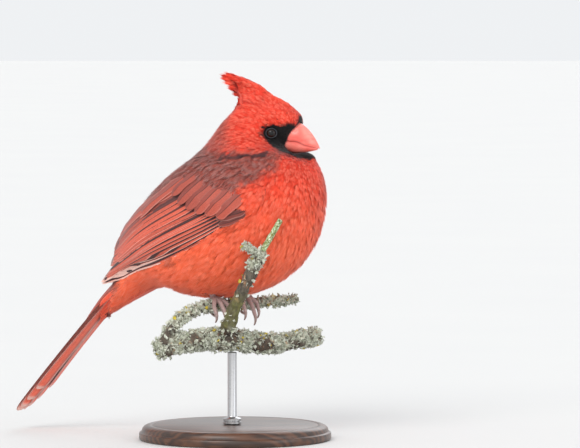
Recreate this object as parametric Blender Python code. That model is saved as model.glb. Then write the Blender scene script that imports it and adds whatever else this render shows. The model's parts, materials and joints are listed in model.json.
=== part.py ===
"""A male northern cardinal, fluffed up against the cold and perched on a lichened branch, life size.

Lengths are in millimetres up to the last step, which scales them to metres. The origin is the middle of
the display stand's underside. The bird is drawn in its own frame, with x forward, y to its left and
z up from the floor, and an empty then turns it on its perch.
"""

from math import cos, exp, pi, radians, sin, sqrt

import bmesh
import bpy
from mathutils import Matrix, Vector

MM = 0.001

# The bird on its perch
BIRD_YAW = radians(-20)
BIRD_PLACE = (0.0, 15.0, 0.0)
GAP = 0.35

# Named stations of the body from tail to bill. Each holds the top (x, z) and underside (x, z) of the body,
# its half width, how much of its height is body and not crest, half the crest's thickness, and how far
# its widest place leans to the top, where 1 is a plain ellipse.
STATIONS = {
    "tail_root": ((-70.0, 84.5), (-77.0, 62.4), 7.0, 1.0, 0.0, 1.0),
    "undertail": ((-67.0, 93.0), (-64.5, 69.4), 10.0, 1.0, 0.0, 1.0),
    "vent": ((-64.0, 101.5), (-50.5, 77.8), 15.5, 1.0, 0.0, 1.0),
    "rump": ((-58.5, 112.0), (-38.5, 80.6), 23.0, 1.0, 0.0, 1.0),
    "loin": ((-50.0, 124.5), (-28.0, 76.6), 30.0, 1.0, 0.0, 1.0),
    "belly": ((-41.0, 135.5), (-14.0, 75.2), 34.5, 1.0, 0.0, 1.0),
    "flank": ((-33.0, 143.8), (2.5, 76.0), 36.5, 1.0, 0.0, 1.0),
    "keel": ((-26.0, 150.2), (20.0, 81.0), 37.5, 1.0, 0.0, 1.0),
    "low_breast": ((-21.0, 154.6), (36.8, 92.8), 37.0, 1.0, 0.0, 1.0),
    "breast": ((-17.0, 158.2), (47.8, 109.8), 35.0, 1.0, 0.0, 1.0),
    "high_breast": ((-14.0, 161.6), (51.6, 128.8), 32.0, 1.0, 0.0, 1.0),
    "neck": ((-11.6, 164.6), (50.6, 141.0), 28.0, 1.0, 0.0, 1.1),
    "throat": ((-9.6, 167.2), (47.2, 149.4), 24.5, 1.0, 0.0, 1.2),
    "collar": ((-6.8, 171.2), (41.6, 152.2), 21.8, 1.0, 0.0, 1.3),
    "nape": ((-2.8, 176.2), (36.8, 154.4), 19.2, 0.98, 1.0, 1.4),
    "crest_back": ((2.5, 182.0), (34.2, 156.4), 17.0, 0.92, 3.5, 1.4),
    "crest_tip": ((-4.5, 195.4), (33.2, 157.7), 15.6, 0.72, 3.6, 1.3),
    "crest_top": ((8.8, 192.2), (32.8, 158.8), 14.4, 0.76, 5.5, 1.25),
    "crown": ((20.6, 188.0), (32.9, 159.9), 12.6, 0.84, 7.5, 1.2),
    "brow": ((30.6, 182.6), (33.2, 161.0), 10.2, 0.92, 7.0, 1.1),
    "forehead": ((37.2, 176.4), (33.9, 162.4), 8.0, 1.0, 3.0, 1.0),
    "bill_root": ((38.6, 171.6), (35.0, 163.8), 5.6, 1.0, 0.0, 1.0),
}
RINGS_PER_STATION = 2
RING_POINTS = 28

# Where the body is parted, as lines seen from the side, each from the back to the front
TRUNK_END = ((-11.0, 163.5), (51.6, 128.8))
NECK_END = ((-7.0, 171.0), (46.4, 151.3))
CREST_ROOT = ((0.0, 183.0), (37.4, 176.4))

# Head
EYE_PLACE = (24.8, 10.8, 165.7)
EYE_RADIUS = 3.7
EYE_HOLLOW = 0.06
EYE_HOLLOW_RADIUS = 7.0
EYE_SEGMENTS = (14, 9)
BILL_ROOT_TOP = (37.9, 170.6)
BILL_ROOT_LOW = (31.3, 155.4)
BILL_TIP = (48.8, 157.6)
BILL_HALF_WIDTH = 6.8
BILL_SUNK_SHARE = 0.3
BILL_HOLLOW_SPARE = 0.03
BILL_LEAST = 0.25
BILL_RIDGE_CURVE = 1.75
BILL_CHIN_CURVE = 1.5
BILL_SIDE_CURVE = (1.7, 0.85)
BILL_ROUNDNESS = 0.8
BILL_OVERHANG = 0.6
LOWER_BILL_WIDTH = 0.93
LOWER_BILL_REACH = 0.9
MOUTH_HEIGHT = 0.4
MOUTH_BEND = 1.1
MOUTH_BEND_REACH = 1.9
MOUTH_GAP = 0.3
MOUTH_VAULT = 0.12
BILL_RINGS = 12
BILL_SIDE_POINTS = 8

# Wings, from the shoulder to the tip. Each edge is a row of body places and turns, in degrees.
WING_LOW_EDGE = (
    (9.7, 70.0), (8.8, 72.0), (7.6, 80.0), (6.2, 82.0),
    (4.6, 82.0), (3.0, 86.0), (1.4, 104.0), (0.0, 130.0),
)
WING_HIGH_EDGE = (
    (9.8, 104.0), (9.2, 136.0), (8.0, 154.0), (6.2, 164.0),
    (4.4, 168.0), (2.8, 168.0), (1.2, 160.0), (0.0, 150.0),
)
WING_STEPS = 20
WING_LANES = 8
WING_GAP = 0.65
WING_THICKNESS = 3.4
WING_EDGE_THICKNESS = 0.8
WING_SHOULDER_SHARE = 0.17
WING_TAPER = 0.4
WING_TIP_LIFT = 1.6
WING_TIP_REACH = (-3.4, 0.0, -0.8)

# Tail: folded feathers seen as one plate, with the outer ones shorter
TAIL_LENGTH = 83.5
TAIL_OUTER_SHORTER = {"upper": 12.0, "under": 23.0}
TAIL_DIP = radians(47.6)
TAIL_ROLL = radians(4)
TAIL_SAG = 3.0
TAIL_ROOT = (-73.6, 72.6)
TAIL_ROOT_HALF_WIDTH = 6.6
TAIL_HALF_WIDTH = 10.8
TAIL_ROOT_THICKNESS = 8.0
TAIL_THICKNESS = 3.6
TAIL_TIP_THICKNESS = 0.9
TAIL_EDGE_THICKNESS = 2.2
TAIL_DROOP = 1.2
TAIL_ROUNDNESS = 2.2
TAIL_FLARE_SHARE = 0.7
TAIL_FADE = 6
TAIL_STEPS = 13
TAIL_LANES = 11

# The perch: a limb, an upright stem with a bare tip and a nub, and the twig that the bird grips
LIMB = (
    (-41.0, -25.0, 50.4), (-22.0, -14.0, 54.8), (-1.6, 0.0, 53.6), (22.0, 15.0, 50.8), (45.0, 28.0, 54.2)
)
LIMB_RADII = (5.0, 5.4, 5.6, 4.9, 4.4)
STEM = (
    (-5.0, -1.5, 53.6), (-2.6, -8.5, 65.0), (2.2, -15.5, 77.5), (8.2, -21.5, 90.2), (14.2, -25.0, 102.6)
)
STEM_RADII = (4.4, 4.0, 3.3, 3.6, 3.3)
STEM_TIP = ((13.6, -24.8, 101.0), (19.0, -26.0, 110.5), (24.8, -27.0, 120.4))
STEM_TIP_RADII = (1.9, 1.75, 1.6)
NUB = ((12.8, -24.6, 100.8), (8.6, -26.6, 104.2), (4.4, -27.8, 106.2))
NUB_RADII = (2.0, 1.8, 1.7)
TWIG = (
    (-38.6, -24.0, 52.0), (-33.0, -17.5, 62.6), (-20.0, 1.0, 70.6), (4.3, 22.0, 72.2), (33.5, 46.5, 72.4)
)
TWIG_RADII = (3.2, 2.9, 2.7, 2.6, 2.4)
BRANCH_SIDES = 8
BRANCH_STEPS = 4
BRANCH_KNOBS = 0.05
BRANCH_KNOB_PITCH = 2.3

# Feet. A toe starts on top of the twig and turns down through the angles given, over its length.
GRIP_SHARES = {"left": 0.75, "right": 0.6}
TOE_RADIUS = 1.15
TOE_END_RADIUS = 0.8
TOE_SIDES = 6
TOE_STEPS = 9
TOE_SPLAY = {"outer": -4.8, "middle": 0.0, "inner": 4.8, "hind": 0.0}
TOE_LENGTH = {"outer": 11.5, "middle": 15.0, "inner": 11.0, "hind": 9.5}
TOE_BEND = {"outer": 68.0, "middle": 66.0, "inner": 68.0, "hind": 118.0}
TOE_EASE = {"outer": 1.8, "middle": 1.8, "inner": 1.8, "hind": 1.0}
TOE_SPLAY_SHARE = 0.6
CLAW_LENGTH = {"outer": 4.6, "middle": 5.4, "inner": 4.6, "hind": 6.4}
CLAW_BEND = 62.0
CLAW_STEPS = 6
CLAW_ROOT_RADIUS = 0.8
CLAW_TIP_RADIUS = 0.12
CLAW_TAPER = 0.8
SHANK_LENGTH = 11.0
SHANK_RADIUS = 1.4
SHANK_LEAN = radians(24)
SHANK_SOCKET = 0.4
SHANK_STEPS = 5
FOOT_POCKET_RADIUS = 4.2
FOOT_POCKET_DEPTH = 4.0

# Display stand
BASE_RADIUS = 52.0
BASE_HEIGHT = 8.0
BASE_BEVEL = 1.2
BASE_SEGMENTS = 44
ROD_RADIUS = 2.5
ROD_SIDES = 20
COLLAR_RADIUS = 5.0
COLLAR_HEIGHT = 3.0
COLLAR_CHAMFER = 0.8

# Colour, roughness and metallic value of each material
MATERIALS = {
    "red_plumage": ((0.72, 0.06, 0.03), 0.8, 0.0),
    "wing_plumage": ((0.34, 0.07, 0.05), 0.7, 0.0),
    "tail_plumage": ((0.5, 0.06, 0.04), 0.7, 0.0),
    "bill_horn": ((0.8, 0.13, 0.06), 0.35, 0.0),
    "eye": ((0.01, 0.008, 0.008), 0.05, 0.0),
    "foot_skin": ((0.3, 0.17, 0.15), 0.6, 0.0),
    "claw_horn": ((0.08, 0.05, 0.04), 0.4, 0.0),
    "bark": ((0.33, 0.33, 0.24), 0.95, 0.0),
    "stand_wood": ((0.1, 0.055, 0.03), 0.4, 0.0),
    "stand_steel": ((0.5, 0.5, 0.5), 0.3, 1.0),
}


def clear_scene():
    for obj in list(bpy.data.objects):
        bpy.data.objects.remove(obj)


def make_materials():
    made = {}
    for name, (colour, roughness, metallic) in MATERIALS.items():
        material = bpy.data.materials.new(name)
        material.use_nodes = True
        shader = material.node_tree.nodes["Principled BSDF"]
        shader.inputs["Base Color"].default_value = (*colour, 1)
        shader.inputs["Roughness"].default_value = roughness
        shader.inputs["Metallic"].default_value = metallic
        made[name] = material
    return made


def spline(points, share):
    """A point on the smooth curve through points, at a share from 0 to 1 of its spans."""
    spans = len(points) - 1
    place = min(max(share, 0.0), 1.0) * spans
    i = min(int(place), spans - 1)
    t = place - i
    before, a, b, after = (points[min(max(k, 0), spans)] for k in (i - 1, i, i + 1, i + 2))
    return tuple(
        0.5 * (2 * q + (r - p) * t + (2 * p - 5 * q + 4 * r - s) * t**2 + (3 * q - p - 3 * r + s) * t**3)
        for p, q, r, s in zip(before, a, b, after)
    )


def spread(count):
    return [k / (count - 1) for k in range(count)]


def mesh_object(name, points, faces, material, parent=None, smooth=True):
    """A named object from points in millimetres."""
    mesh = bpy.data.meshes.new(name)
    mesh.from_pydata([Vector(p) * MM for p in points], [], faces)
    made = bmesh.new()
    made.from_mesh(mesh)
    bmesh.ops.remove_doubles(made, verts=made.verts, dist=1e-6)
    bmesh.ops.recalc_face_normals(made, faces=made.faces)
    made.to_mesh(mesh)
    made.free()
    if smooth:
        mesh.shade_smooth()
        mesh.set_sharp_from_angle(angle=radians(40))
    mesh.materials.append(material)
    obj = bpy.data.objects.new(name, mesh)
    obj.parent = parent
    bpy.context.scene.collection.objects.link(obj)
    return obj


def loft(rings):
    """Points and faces of closed rings joined in turn, with a flat cap at each end."""
    count = len(rings[0])
    points = [p for ring in rings for p in ring]
    faces = [
        (start + k, start + (k + 1) % count, start + count + (k + 1) % count, start + count + k)
        for start in range(0, (len(rings) - 1) * count, count)
        for k in range(count)
    ]
    last = (len(rings) - 1) * count
    faces.append(tuple(range(count - 1, -1, -1)))
    faces.append(tuple(range(last, last + count)))
    return points, faces


def tube_rings(path, radii, sides):
    """Rings of a tapered tube along path, kept from twisting."""
    rings = []
    side = None
    for i, place in enumerate(path):
        ahead = path[min(i + 1, len(path) - 1)]
        behind = path[max(i - 1, 0)]
        along = (ahead - behind).normalized()
        if side is None:
            side = along.orthogonal().normalized()
        side = (side - along * side.dot(along)).normalized()
        up = along.cross(side)
        rings.append(
            [
                place + (side * cos(2 * pi * k / sides) + up * sin(2 * pi * k / sides)) * radii[i]
                for k in range(sides)
            ]
        )
    return rings


def hidden_helper(obj):
    obj.hide_render = True
    obj.display_type = "WIRE"


def boolean(target, tool, operation):
    hidden_helper(tool)
    step = target.modifiers.new(operation.title() + tool.name, "BOOLEAN")
    step.object = tool
    step.operation = operation
    step.solver = "EXACT"


def body_point(place, turn):
    """A point of the body's surface. The place counts stations from the tail, and the turn starts at the
    underside and rises along the left side. The body is an ellipse there, with the crest's fin on top."""
    flat = [(*top, *low, *sizes) for top, low, *sizes in STATIONS.values()]
    top_x, top_z, low_x, low_z, half_width, body_share, crest, lean = spline(flat, place / (len(flat) - 1))
    body_share = min(body_share, 1.0)
    crest = max(crest, 0.0)
    height = (1 - cos(turn)) / 2
    level = min(height / body_share, 1.0) ** max(lean, 1.0)
    across = sqrt(max(0.0, 1 - (2 * level - 1) ** 2))
    fin = crest * sqrt(max(0.0, 1 - height))
    side = ((half_width * across) ** 3 + fin**3) ** (1 / 3)
    if abs(sin(turn)) < 1e-6:
        side = 0.0
    if sin(turn) < 0:
        side = -side
    point = Vector((low_x + (top_x - low_x) * height, side, low_z + (top_z - low_z) * height))
    hollow = Vector((point.x - EYE_PLACE[0], abs(point.y) - EYE_PLACE[1], point.z - EYE_PLACE[2])).length
    point.y *= 1 - EYE_HOLLOW * exp(-((hollow / EYE_HOLLOW_RADIUS) ** 2))
    return point


def whole_body():
    count = (len(STATIONS) - 1) * RINGS_PER_STATION + 1
    return loft(
        [
            [body_point(k / RINGS_PER_STATION, 2 * pi * j / RING_POINTS) for j in range(RING_POINTS)]
            for k in range(count)
        ]
    )


def cut_body(points, faces, planes):
    """The part of the body on the positive side of each (point, normal), closed where it was cut."""
    made = bmesh.new()
    verts = [made.verts.new(p) for p in points]
    for face in faces:
        made.faces.new([verts[k] for k in face])
    bmesh.ops.recalc_face_normals(made, faces=made.faces)
    for point, normal in planes:
        geometry = made.verts[:] + made.edges[:] + made.faces[:]
        cut = bmesh.ops.bisect_plane(
            made, geom=geometry, dist=1e-5, plane_co=point, plane_no=normal, clear_inner=True
        )
        edges = [e for e in cut["geom_cut"] if isinstance(e, bmesh.types.BMEdge)]
        bmesh.ops.triangle_fill(made, edges=edges, use_beauty=True)
    made.verts.index_update()
    kept = [v.co.copy() for v in made.verts]
    sides = [tuple(v.index for v in f.verts) for f in made.faces]
    made.free()
    return kept, sides


def parting(line, above):
    """The plane through a parting line, its normal pointing up if above, moved half a gap that way."""
    (back_x, back_z), (front_x, front_z) = line
    along = Vector((front_x - back_x, 0, front_z - back_z)).normalized()
    up = Vector((-along.z, 0, along.x))
    normal = up if above else -up
    return Vector((back_x, 0, back_z)) + normal * GAP / 2, normal


def make_body(materials, bird):
    """The trunk, neck, head and crest, cut from one body."""
    points, faces = whole_body()
    parts = {
        "trunk": [parting(TRUNK_END, False)],
        "neck": [parting(TRUNK_END, True), parting(NECK_END, False)],
        "head": [parting(NECK_END, True), parting(CREST_ROOT, False)],
        "crest": [parting(CREST_ROOT, True)],
    }
    made = {}
    for name, planes in parts.items():
        kept, sides = cut_body(points, faces, planes)
        made[name] = mesh_object(name, kept, sides, materials["red_plumage"], bird)
    return made


def ball(name, centre, radius, material, parent):
    made = bmesh.new()
    across, along = EYE_SEGMENTS
    bmesh.ops.create_uvsphere(made, u_segments=across, v_segments=along, radius=radius)
    points = [v.co + Vector(centre) for v in made.verts]
    faces = [tuple(v.index for v in f.verts) for f in made.faces]
    made.free()
    return mesh_object(name, points, faces, material, parent)


def make_eyes(materials, bird, head):
    for name, side in (("eye_left", 1), ("eye_right", -1)):
        x, y, z = EYE_PLACE
        centre = (x, y * side, z)
        ball(name, centre, EYE_RADIUS, materials["eye"], bird)
        socket = ball("socket_" + name, centre, EYE_RADIUS + GAP, materials["eye"], bird)
        boolean(head, socket, "DIFFERENCE")


def bill_section(reach):
    """The foot of one section of the bill, its unit up direction, the heights of its ridge, mouth and chin
    and its half width. The reach is 0 at the root, 1 at the tip, and below 0 inside the head."""
    root_top, root_low, tip = Vector(BILL_ROOT_TOP), Vector(BILL_ROOT_LOW), Vector(BILL_TIP)
    up = (root_top - root_low).normalized()
    forward = Vector((up.y, -up.x))
    depth = (root_top - root_low).length
    tip_height = (tip - root_low).dot(up)
    foot = root_low + forward * (tip - root_low).dot(forward) * reach
    share = max(reach, 0.0)
    ridge = tip_height + (depth - tip_height) * (1 - share**BILL_RIDGE_CURVE)
    chin = (tip_height - BILL_OVERHANG) * share**BILL_CHIN_CURVE
    mouth_root = depth * MOUTH_HEIGHT
    mouth_fall = (tip_height - BILL_OVERHANG / 2 - mouth_root) * share
    mouth_bend = MOUTH_BEND * sin(pi * min(share * MOUTH_BEND_REACH, 1.0)) * (1 - share)
    inward, fullness = BILL_SIDE_CURVE
    width = BILL_HALF_WIDTH * (1 - share**inward) ** fullness
    return foot, up, ridge, mouth_root + mouth_fall + mouth_bend, chin, width


def arch(section, edge, rise, width, grow=0.0):
    """A row of points over the section's edge line, or under it where the rise is negative."""
    foot, up = section[:2]
    row = []
    for k in range(BILL_SIDE_POINTS + 1):
        turn = pi * k / BILL_SIDE_POINTS
        place = foot + up * (edge + (rise + (grow if rise > 0 else -grow)) * sin(turn) ** BILL_ROUNDNESS)
        row.append(Vector((place.x, (width + grow) * cos(turn), place.y)))
    return row


def half_bill_ring(reach, upper):
    """One ring of the upper or lower half of the bill, closed by the flat of the mouth line."""
    section = bill_section(reach)
    foot, up, ridge, mouth, chin, width = section
    edge = mouth + MOUTH_GAP / 2 if upper else mouth - MOUTH_GAP / 2
    rise = max(ridge - edge, BILL_LEAST) if upper else -max(edge - chin, BILL_LEAST)
    ring = arch(section, edge, rise, max(width, BILL_LEAST) * (1.0 if upper else LOWER_BILL_WIDTH))
    middle = foot + up * (edge + MOUTH_VAULT * rise)
    ring.append(Vector((middle.x, 0, middle.y)))
    return ring


def bill_hollow_ring(reach):
    """One ring round both halves of the bill, a gap outside them."""
    section = bill_section(reach)
    ridge, mouth, chin, width = section[2:]
    over = arch(section, mouth, ridge - mouth, width, GAP)
    under = arch(section, mouth, chin - mouth, width, GAP)
    return over + under[-2:0:-1]


def make_bill(materials, bird, face_parts):
    start = -BILL_SUNK_SHARE
    for name, upper, last in (("bill_upper", True, 1.0), ("bill_lower", False, LOWER_BILL_REACH)):
        rings = [half_bill_ring(start + (last - start) * share, upper) for share in spread(BILL_RINGS)]
        mesh_object(name, *loft(rings), materials["bill_horn"], bird)
    reaches = [start - BILL_HOLLOW_SPARE + (1 - start) * share for share in spread(BILL_RINGS)]
    rings = [bill_hollow_ring(reach) for reach in reaches]
    hollow = mesh_object("bill_hollow", *loft(rings), materials["bill_horn"], bird)
    for part in face_parts:
        boolean(part, hollow, "DIFFERENCE")


def body_normal(place, turn):
    """The direction out of the body's surface, on its left side."""
    step = 0.05
    along = body_point(place + step, turn) - body_point(max(place - step, 0.0), turn)
    around = body_point(place, turn + step) - body_point(place, turn - step)
    return around.cross(along).normalized()


def wing_grids(side):
    """The inner and outer faces of a wing that lies on the body, as two grids of points."""
    inner, outer = [], []
    for share in spread(WING_STEPS):
        low, high = spline(WING_LOW_EDGE, share), spline(WING_HIGH_EDGE, share)
        inner_row, outer_row = [], []
        for lane in spread(WING_LANES):
            place = max(low[0] + (high[0] - low[0]) * lane, 0.0)
            turn = radians(low[1] + (high[1] - low[1]) * lane)
            normal = body_normal(place, turn)
            swell = sqrt(sin(pi * lane) * min(1.0, share / WING_SHOULDER_SHARE)) * (1 - share) ** WING_TAPER
            thickness = WING_EDGE_THICKNESS + (WING_THICKNESS - WING_EDGE_THICKNESS) * swell
            near = body_point(place, turn) + normal * (WING_GAP + WING_TIP_LIFT * share**4)
            near += Vector(WING_TIP_REACH) * share**6
            far = near + normal * thickness
            inner_row.append(Vector((near.x, side * near.y, near.z)))
            outer_row.append(Vector((far.x, side * far.y, far.z)))
        inner.append(inner_row)
        outer.append(outer_row)
    return inner, outer


def shell(inner, outer):
    """A closed solid between two grids of the same size."""
    rows, columns = len(inner), len(inner[0])
    points = [p for grid in (inner, outer) for row in grid for p in row]
    step = rows * columns

    def at(grid, i, j):
        return grid * step + i * columns + j

    faces = []
    for i in range(rows - 1):
        for j in range(columns - 1):
            for g in (0, 1):
                faces.append((at(g, i, j), at(g, i + 1, j), at(g, i + 1, j + 1), at(g, i, j + 1)))
    for i in range(rows - 1):
        for j in (0, columns - 1):
            faces.append((at(0, i, j), at(0, i + 1, j), at(1, i + 1, j), at(1, i, j)))
    for j in range(columns - 1):
        for i in (0, rows - 1):
            faces.append((at(0, i, j), at(0, i, j + 1), at(1, i, j + 1), at(1, i, j)))
    return points, faces


def make_wings(materials, bird):
    for name, side in (("wing_left", 1), ("wing_right", -1)):
        mesh_object(name, *shell(*wing_grids(side)), materials["wing_plumage"], bird)


def tail_point(step, across, face):
    """A point of the folded tail's upper or under face, at a step of 0 to 1 and from -1 to 1 across it."""
    along = Vector((-cos(TAIL_DIP), 0, -sin(TAIL_DIP)))
    side = Matrix.Rotation(TAIL_ROLL, 3, along) @ Vector((0, 1, 0))
    up = side.cross(along)
    reach = (TAIL_LENGTH - TAIL_OUTER_SHORTER[face] * abs(across) ** TAIL_ROUNDNESS) * sin(pi / 2 * step)
    share = reach / TAIL_LENGTH
    flare = min(1.0, share / TAIL_FLARE_SHARE)
    half_width = TAIL_ROOT_HALF_WIDTH + (TAIL_HALF_WIDTH - TAIL_ROOT_HALF_WIDTH) * flare
    middle = TAIL_THICKNESS + (TAIL_ROOT_THICKNESS - TAIL_THICKNESS) * (1 - share) ** TAIL_FADE
    thickness = TAIL_EDGE_THICKNESS + (middle - TAIL_EDGE_THICKNESS) * sqrt(1 - across**2)
    thickness = TAIL_TIP_THICKNESS + (thickness - TAIL_TIP_THICKNESS) * (1 - step**TAIL_FADE)
    lift = (thickness if face == "upper" else -thickness) / 2
    fall = TAIL_DROOP * across**2 * sqrt(share) + TAIL_SAG * share**2
    root = Vector((TAIL_ROOT[0], 0, TAIL_ROOT[1]))
    return root + along * reach + side * half_width * across + up * (lift - fall)


def tail_grids():
    """The upper and under faces of the folded tail, from the trunk's end to the tips."""
    (top_x, top_z), (low_x, low_z) = STATIONS["tail_root"][:2]
    end_along = Vector((top_x - low_x, 0, top_z - low_z)).normalized()
    back = Vector((-end_along.z, 0, end_along.x))
    end = Vector((low_x, 0, low_z)) + back * GAP
    along = Vector((-cos(TAIL_DIP), 0, -sin(TAIL_DIP)))
    grids = []
    for face in ("upper", "under"):
        lanes = [2 * lane - 1 for lane in spread(TAIL_LANES)]
        rows = [[tail_point(step, across, face) for across in lanes] for step in spread(TAIL_STEPS)]
        rows[0] = [point + along * ((end - point).dot(back) / along.dot(back)) for point in rows[0]]
        grids.append(rows)
    return grids


def make_tail(materials, bird):
    mesh_object("tail", *shell(*tail_grids()), materials["tail_plumage"], bird)


def branch(name, route, radii, material):
    """A tapered tube through the route's points, slightly knobbly."""
    count = (len(route) - 1) * BRANCH_STEPS + 1
    path = [Vector(spline(route, share)) for share in spread(count)]
    thick = [spline([(r,) for r in radii], share)[0] for share in spread(count)]
    thick = [r * (1 + BRANCH_KNOBS * sin(BRANCH_KNOB_PITCH * k)) for k, r in enumerate(thick)]
    return mesh_object(name, *loft(tube_rings(path, thick, BRANCH_SIDES)), material)


def make_perch(materials):
    """The cut length of branch, joined into one piece."""
    bark = materials["bark"]
    perch = branch("perch", LIMB, LIMB_RADII, bark)
    shoots = (
        ("stem", STEM, STEM_RADII),
        ("stem_tip", STEM_TIP, STEM_TIP_RADII),
        ("nub", NUB, NUB_RADII),
        ("twig", TWIG, TWIG_RADII),
    )
    for name, route, radii in shoots:
        boolean(perch, branch(name, route, radii, bark), "UNION")


def twig_grip(foot):
    """The top of the twig under one foot, and the directions along it, up and forward."""
    share = GRIP_SHARES[foot]
    place = Vector(spline(TWIG, share))
    along = (Vector(spline(TWIG, share + 0.02)) - Vector(spline(TWIG, share - 0.02))).normalized()
    up = (Vector((0, 0, 1)) - along * along.z).normalized()
    forward = along.cross(up)
    return place + up * (TWIG_RADII[3] * (1 + BRANCH_KNOBS) + TOE_RADIUS + GAP), along, up, forward


def toe_path(foot, toe):
    """The middle line of one toe. It bends faster over the twig than past it."""
    place, along, up, forward = twig_grip(foot)
    ahead = -forward if toe == "hind" else forward
    step = TOE_LENGTH[toe] / (TOE_STEPS - 1)
    path = [place]
    for k in range(1, TOE_STEPS):
        share = k / (TOE_STEPS - 1)
        bend = radians(TOE_BEND[toe]) * (1 - (1 - share) ** TOE_EASE[toe])
        place = place + (ahead * cos(bend) - up * sin(bend)) * step
        path.append(place + along * TOE_SPLAY[toe] * min(1.0, share / TOE_SPLAY_SHARE))
    return path


def claw_path(foot, toe):
    """The middle line of one claw, which goes on from the toe and bends down and back."""
    along, up, forward = twig_grip(foot)[1:]
    ahead = -forward if toe == "hind" else forward
    end = toe_path(foot, toe)[-1]
    step = CLAW_LENGTH[toe] / (CLAW_STEPS - 1)
    bend = radians(TOE_BEND[toe])
    place = end + (ahead * cos(bend) - up * sin(bend)) * GAP
    path = [place]
    for k in range(1, CLAW_STEPS):
        turn = bend + radians(CLAW_BEND) * k / (CLAW_STEPS - 1)
        place = place + (ahead * cos(turn) - up * sin(turn)) * step
        path.append(place)
    return path


def make_leg(foot, materials, trunk):
    """A shank that goes up into the belly's plumage, four toes joined to it and their separate claws."""
    skin = materials["foot_skin"]
    knuckle, along, up, forward = twig_grip(foot)
    bird_forward = Matrix.Rotation(BIRD_YAW, 3, "Z") @ Vector((1, 0, 0))
    rise = up * cos(SHANK_LEAN) - bird_forward * sin(SHANK_LEAN)
    path = [knuckle + rise * SHANK_LENGTH * share for share in spread(SHANK_STEPS)]
    leg = mesh_object("leg_" + foot, *loft(tube_rings(path, [SHANK_RADIUS] * SHANK_STEPS, TOE_SIDES)), skin)
    for toe in TOE_SPLAY:
        route = toe_path(foot, toe)
        radii = [TOE_RADIUS + (TOE_END_RADIUS - TOE_RADIUS) * share for share in spread(TOE_STEPS)]
        piece = mesh_object(f"toe_{foot}_{toe}", *loft(tube_rings(route, radii, TOE_SIDES)), skin)
        boolean(leg, piece, "UNION")
        radii = [
            CLAW_TIP_RADIUS + (CLAW_ROOT_RADIUS - CLAW_TIP_RADIUS) * (1 - share) ** CLAW_TAPER
            for share in spread(CLAW_STEPS)
        ]
        claw = tube_rings(claw_path(foot, toe), radii, TOE_SIDES)
        mesh_object(f"claw_{foot}_{toe}", *loft(claw), materials["claw_horn"])
    path = [knuckle - up * FOOT_POCKET_DEPTH, knuckle, *path[1:], path[-1] + rise * SHANK_SOCKET]
    radii = [FOOT_POCKET_RADIUS] * 2 + [SHANK_RADIUS + SHANK_SOCKET] * (len(path) - 2)
    hole = tube_rings(path, radii, TOE_SIDES)
    boolean(trunk, mesh_object("hole_" + foot, *loft(hole), skin), "DIFFERENCE")


def make_stand(materials):
    made = bmesh.new()
    size = {"radius1": BASE_RADIUS, "radius2": BASE_RADIUS, "depth": BASE_HEIGHT}
    bmesh.ops.create_cone(made, cap_ends=True, segments=BASE_SEGMENTS, **size)
    top_edges = [e for e in made.edges if all(v.co.z > 0 for v in e.verts)]
    bmesh.ops.bevel(made, geom=top_edges, offset=BASE_BEVEL, segments=2, affect="EDGES", profile=0.5)
    points = [v.co + Vector((0, 0, BASE_HEIGHT / 2)) for v in made.verts]
    faces = [tuple(v.index for v in f.verts) for f in made.faces]
    made.free()
    mesh_object("stand_base", points, faces, materials["stand_wood"])
    rod_foot = BASE_HEIGHT + GAP
    limb_x, limb_y, limb_z = LIMB[2]
    rod_head = limb_z - LIMB_RADII[2] * (1 + BRANCH_KNOBS) - GAP
    profile = (
        (rod_foot, COLLAR_RADIUS),
        (rod_foot + COLLAR_HEIGHT, COLLAR_RADIUS),
        (rod_foot + COLLAR_HEIGHT + COLLAR_CHAMFER, ROD_RADIUS),
        (rod_head, ROD_RADIUS),
    )
    turns = [2 * pi * k / ROD_SIDES for k in range(ROD_SIDES)]
    rings = [[Vector((limb_x + r * cos(a), limb_y + r * sin(a), z)) for a in turns] for z, r in profile]
    mesh_object("stand_rod", *loft(rings), materials["stand_steel"])


def main():
    clear_scene()
    materials = make_materials()
    bird = bpy.data.objects.new("bird", None)
    bird.location = Vector(BIRD_PLACE) * MM
    bird.rotation_euler = (0, 0, BIRD_YAW)
    bpy.context.scene.collection.objects.link(bird)
    body = make_body(materials, bird)
    make_eyes(materials, bird, body["head"])
    make_bill(materials, bird, [body["head"], body["neck"]])
    make_wings(materials, bird)
    make_tail(materials, bird)
    make_perch(materials)
    make_leg("left", materials, body["trunk"])
    make_leg("right", materials, body["trunk"])
    make_stand(materials)


main()
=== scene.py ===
"""Looks of a life-size male northern cardinal on a cut branch and a plain display stand.

Laid out as an add-on and run as a script. The bird is drawn in its own frame, in millimetres, with x
forward, y to its left and z up, and to_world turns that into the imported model's frame, in metres.
"""

import json
import math

import bmesh
import bpy
import numpy as np
from mathutils import Matrix, Vector, noise
from mathutils.bvhtree import BVHTree

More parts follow.
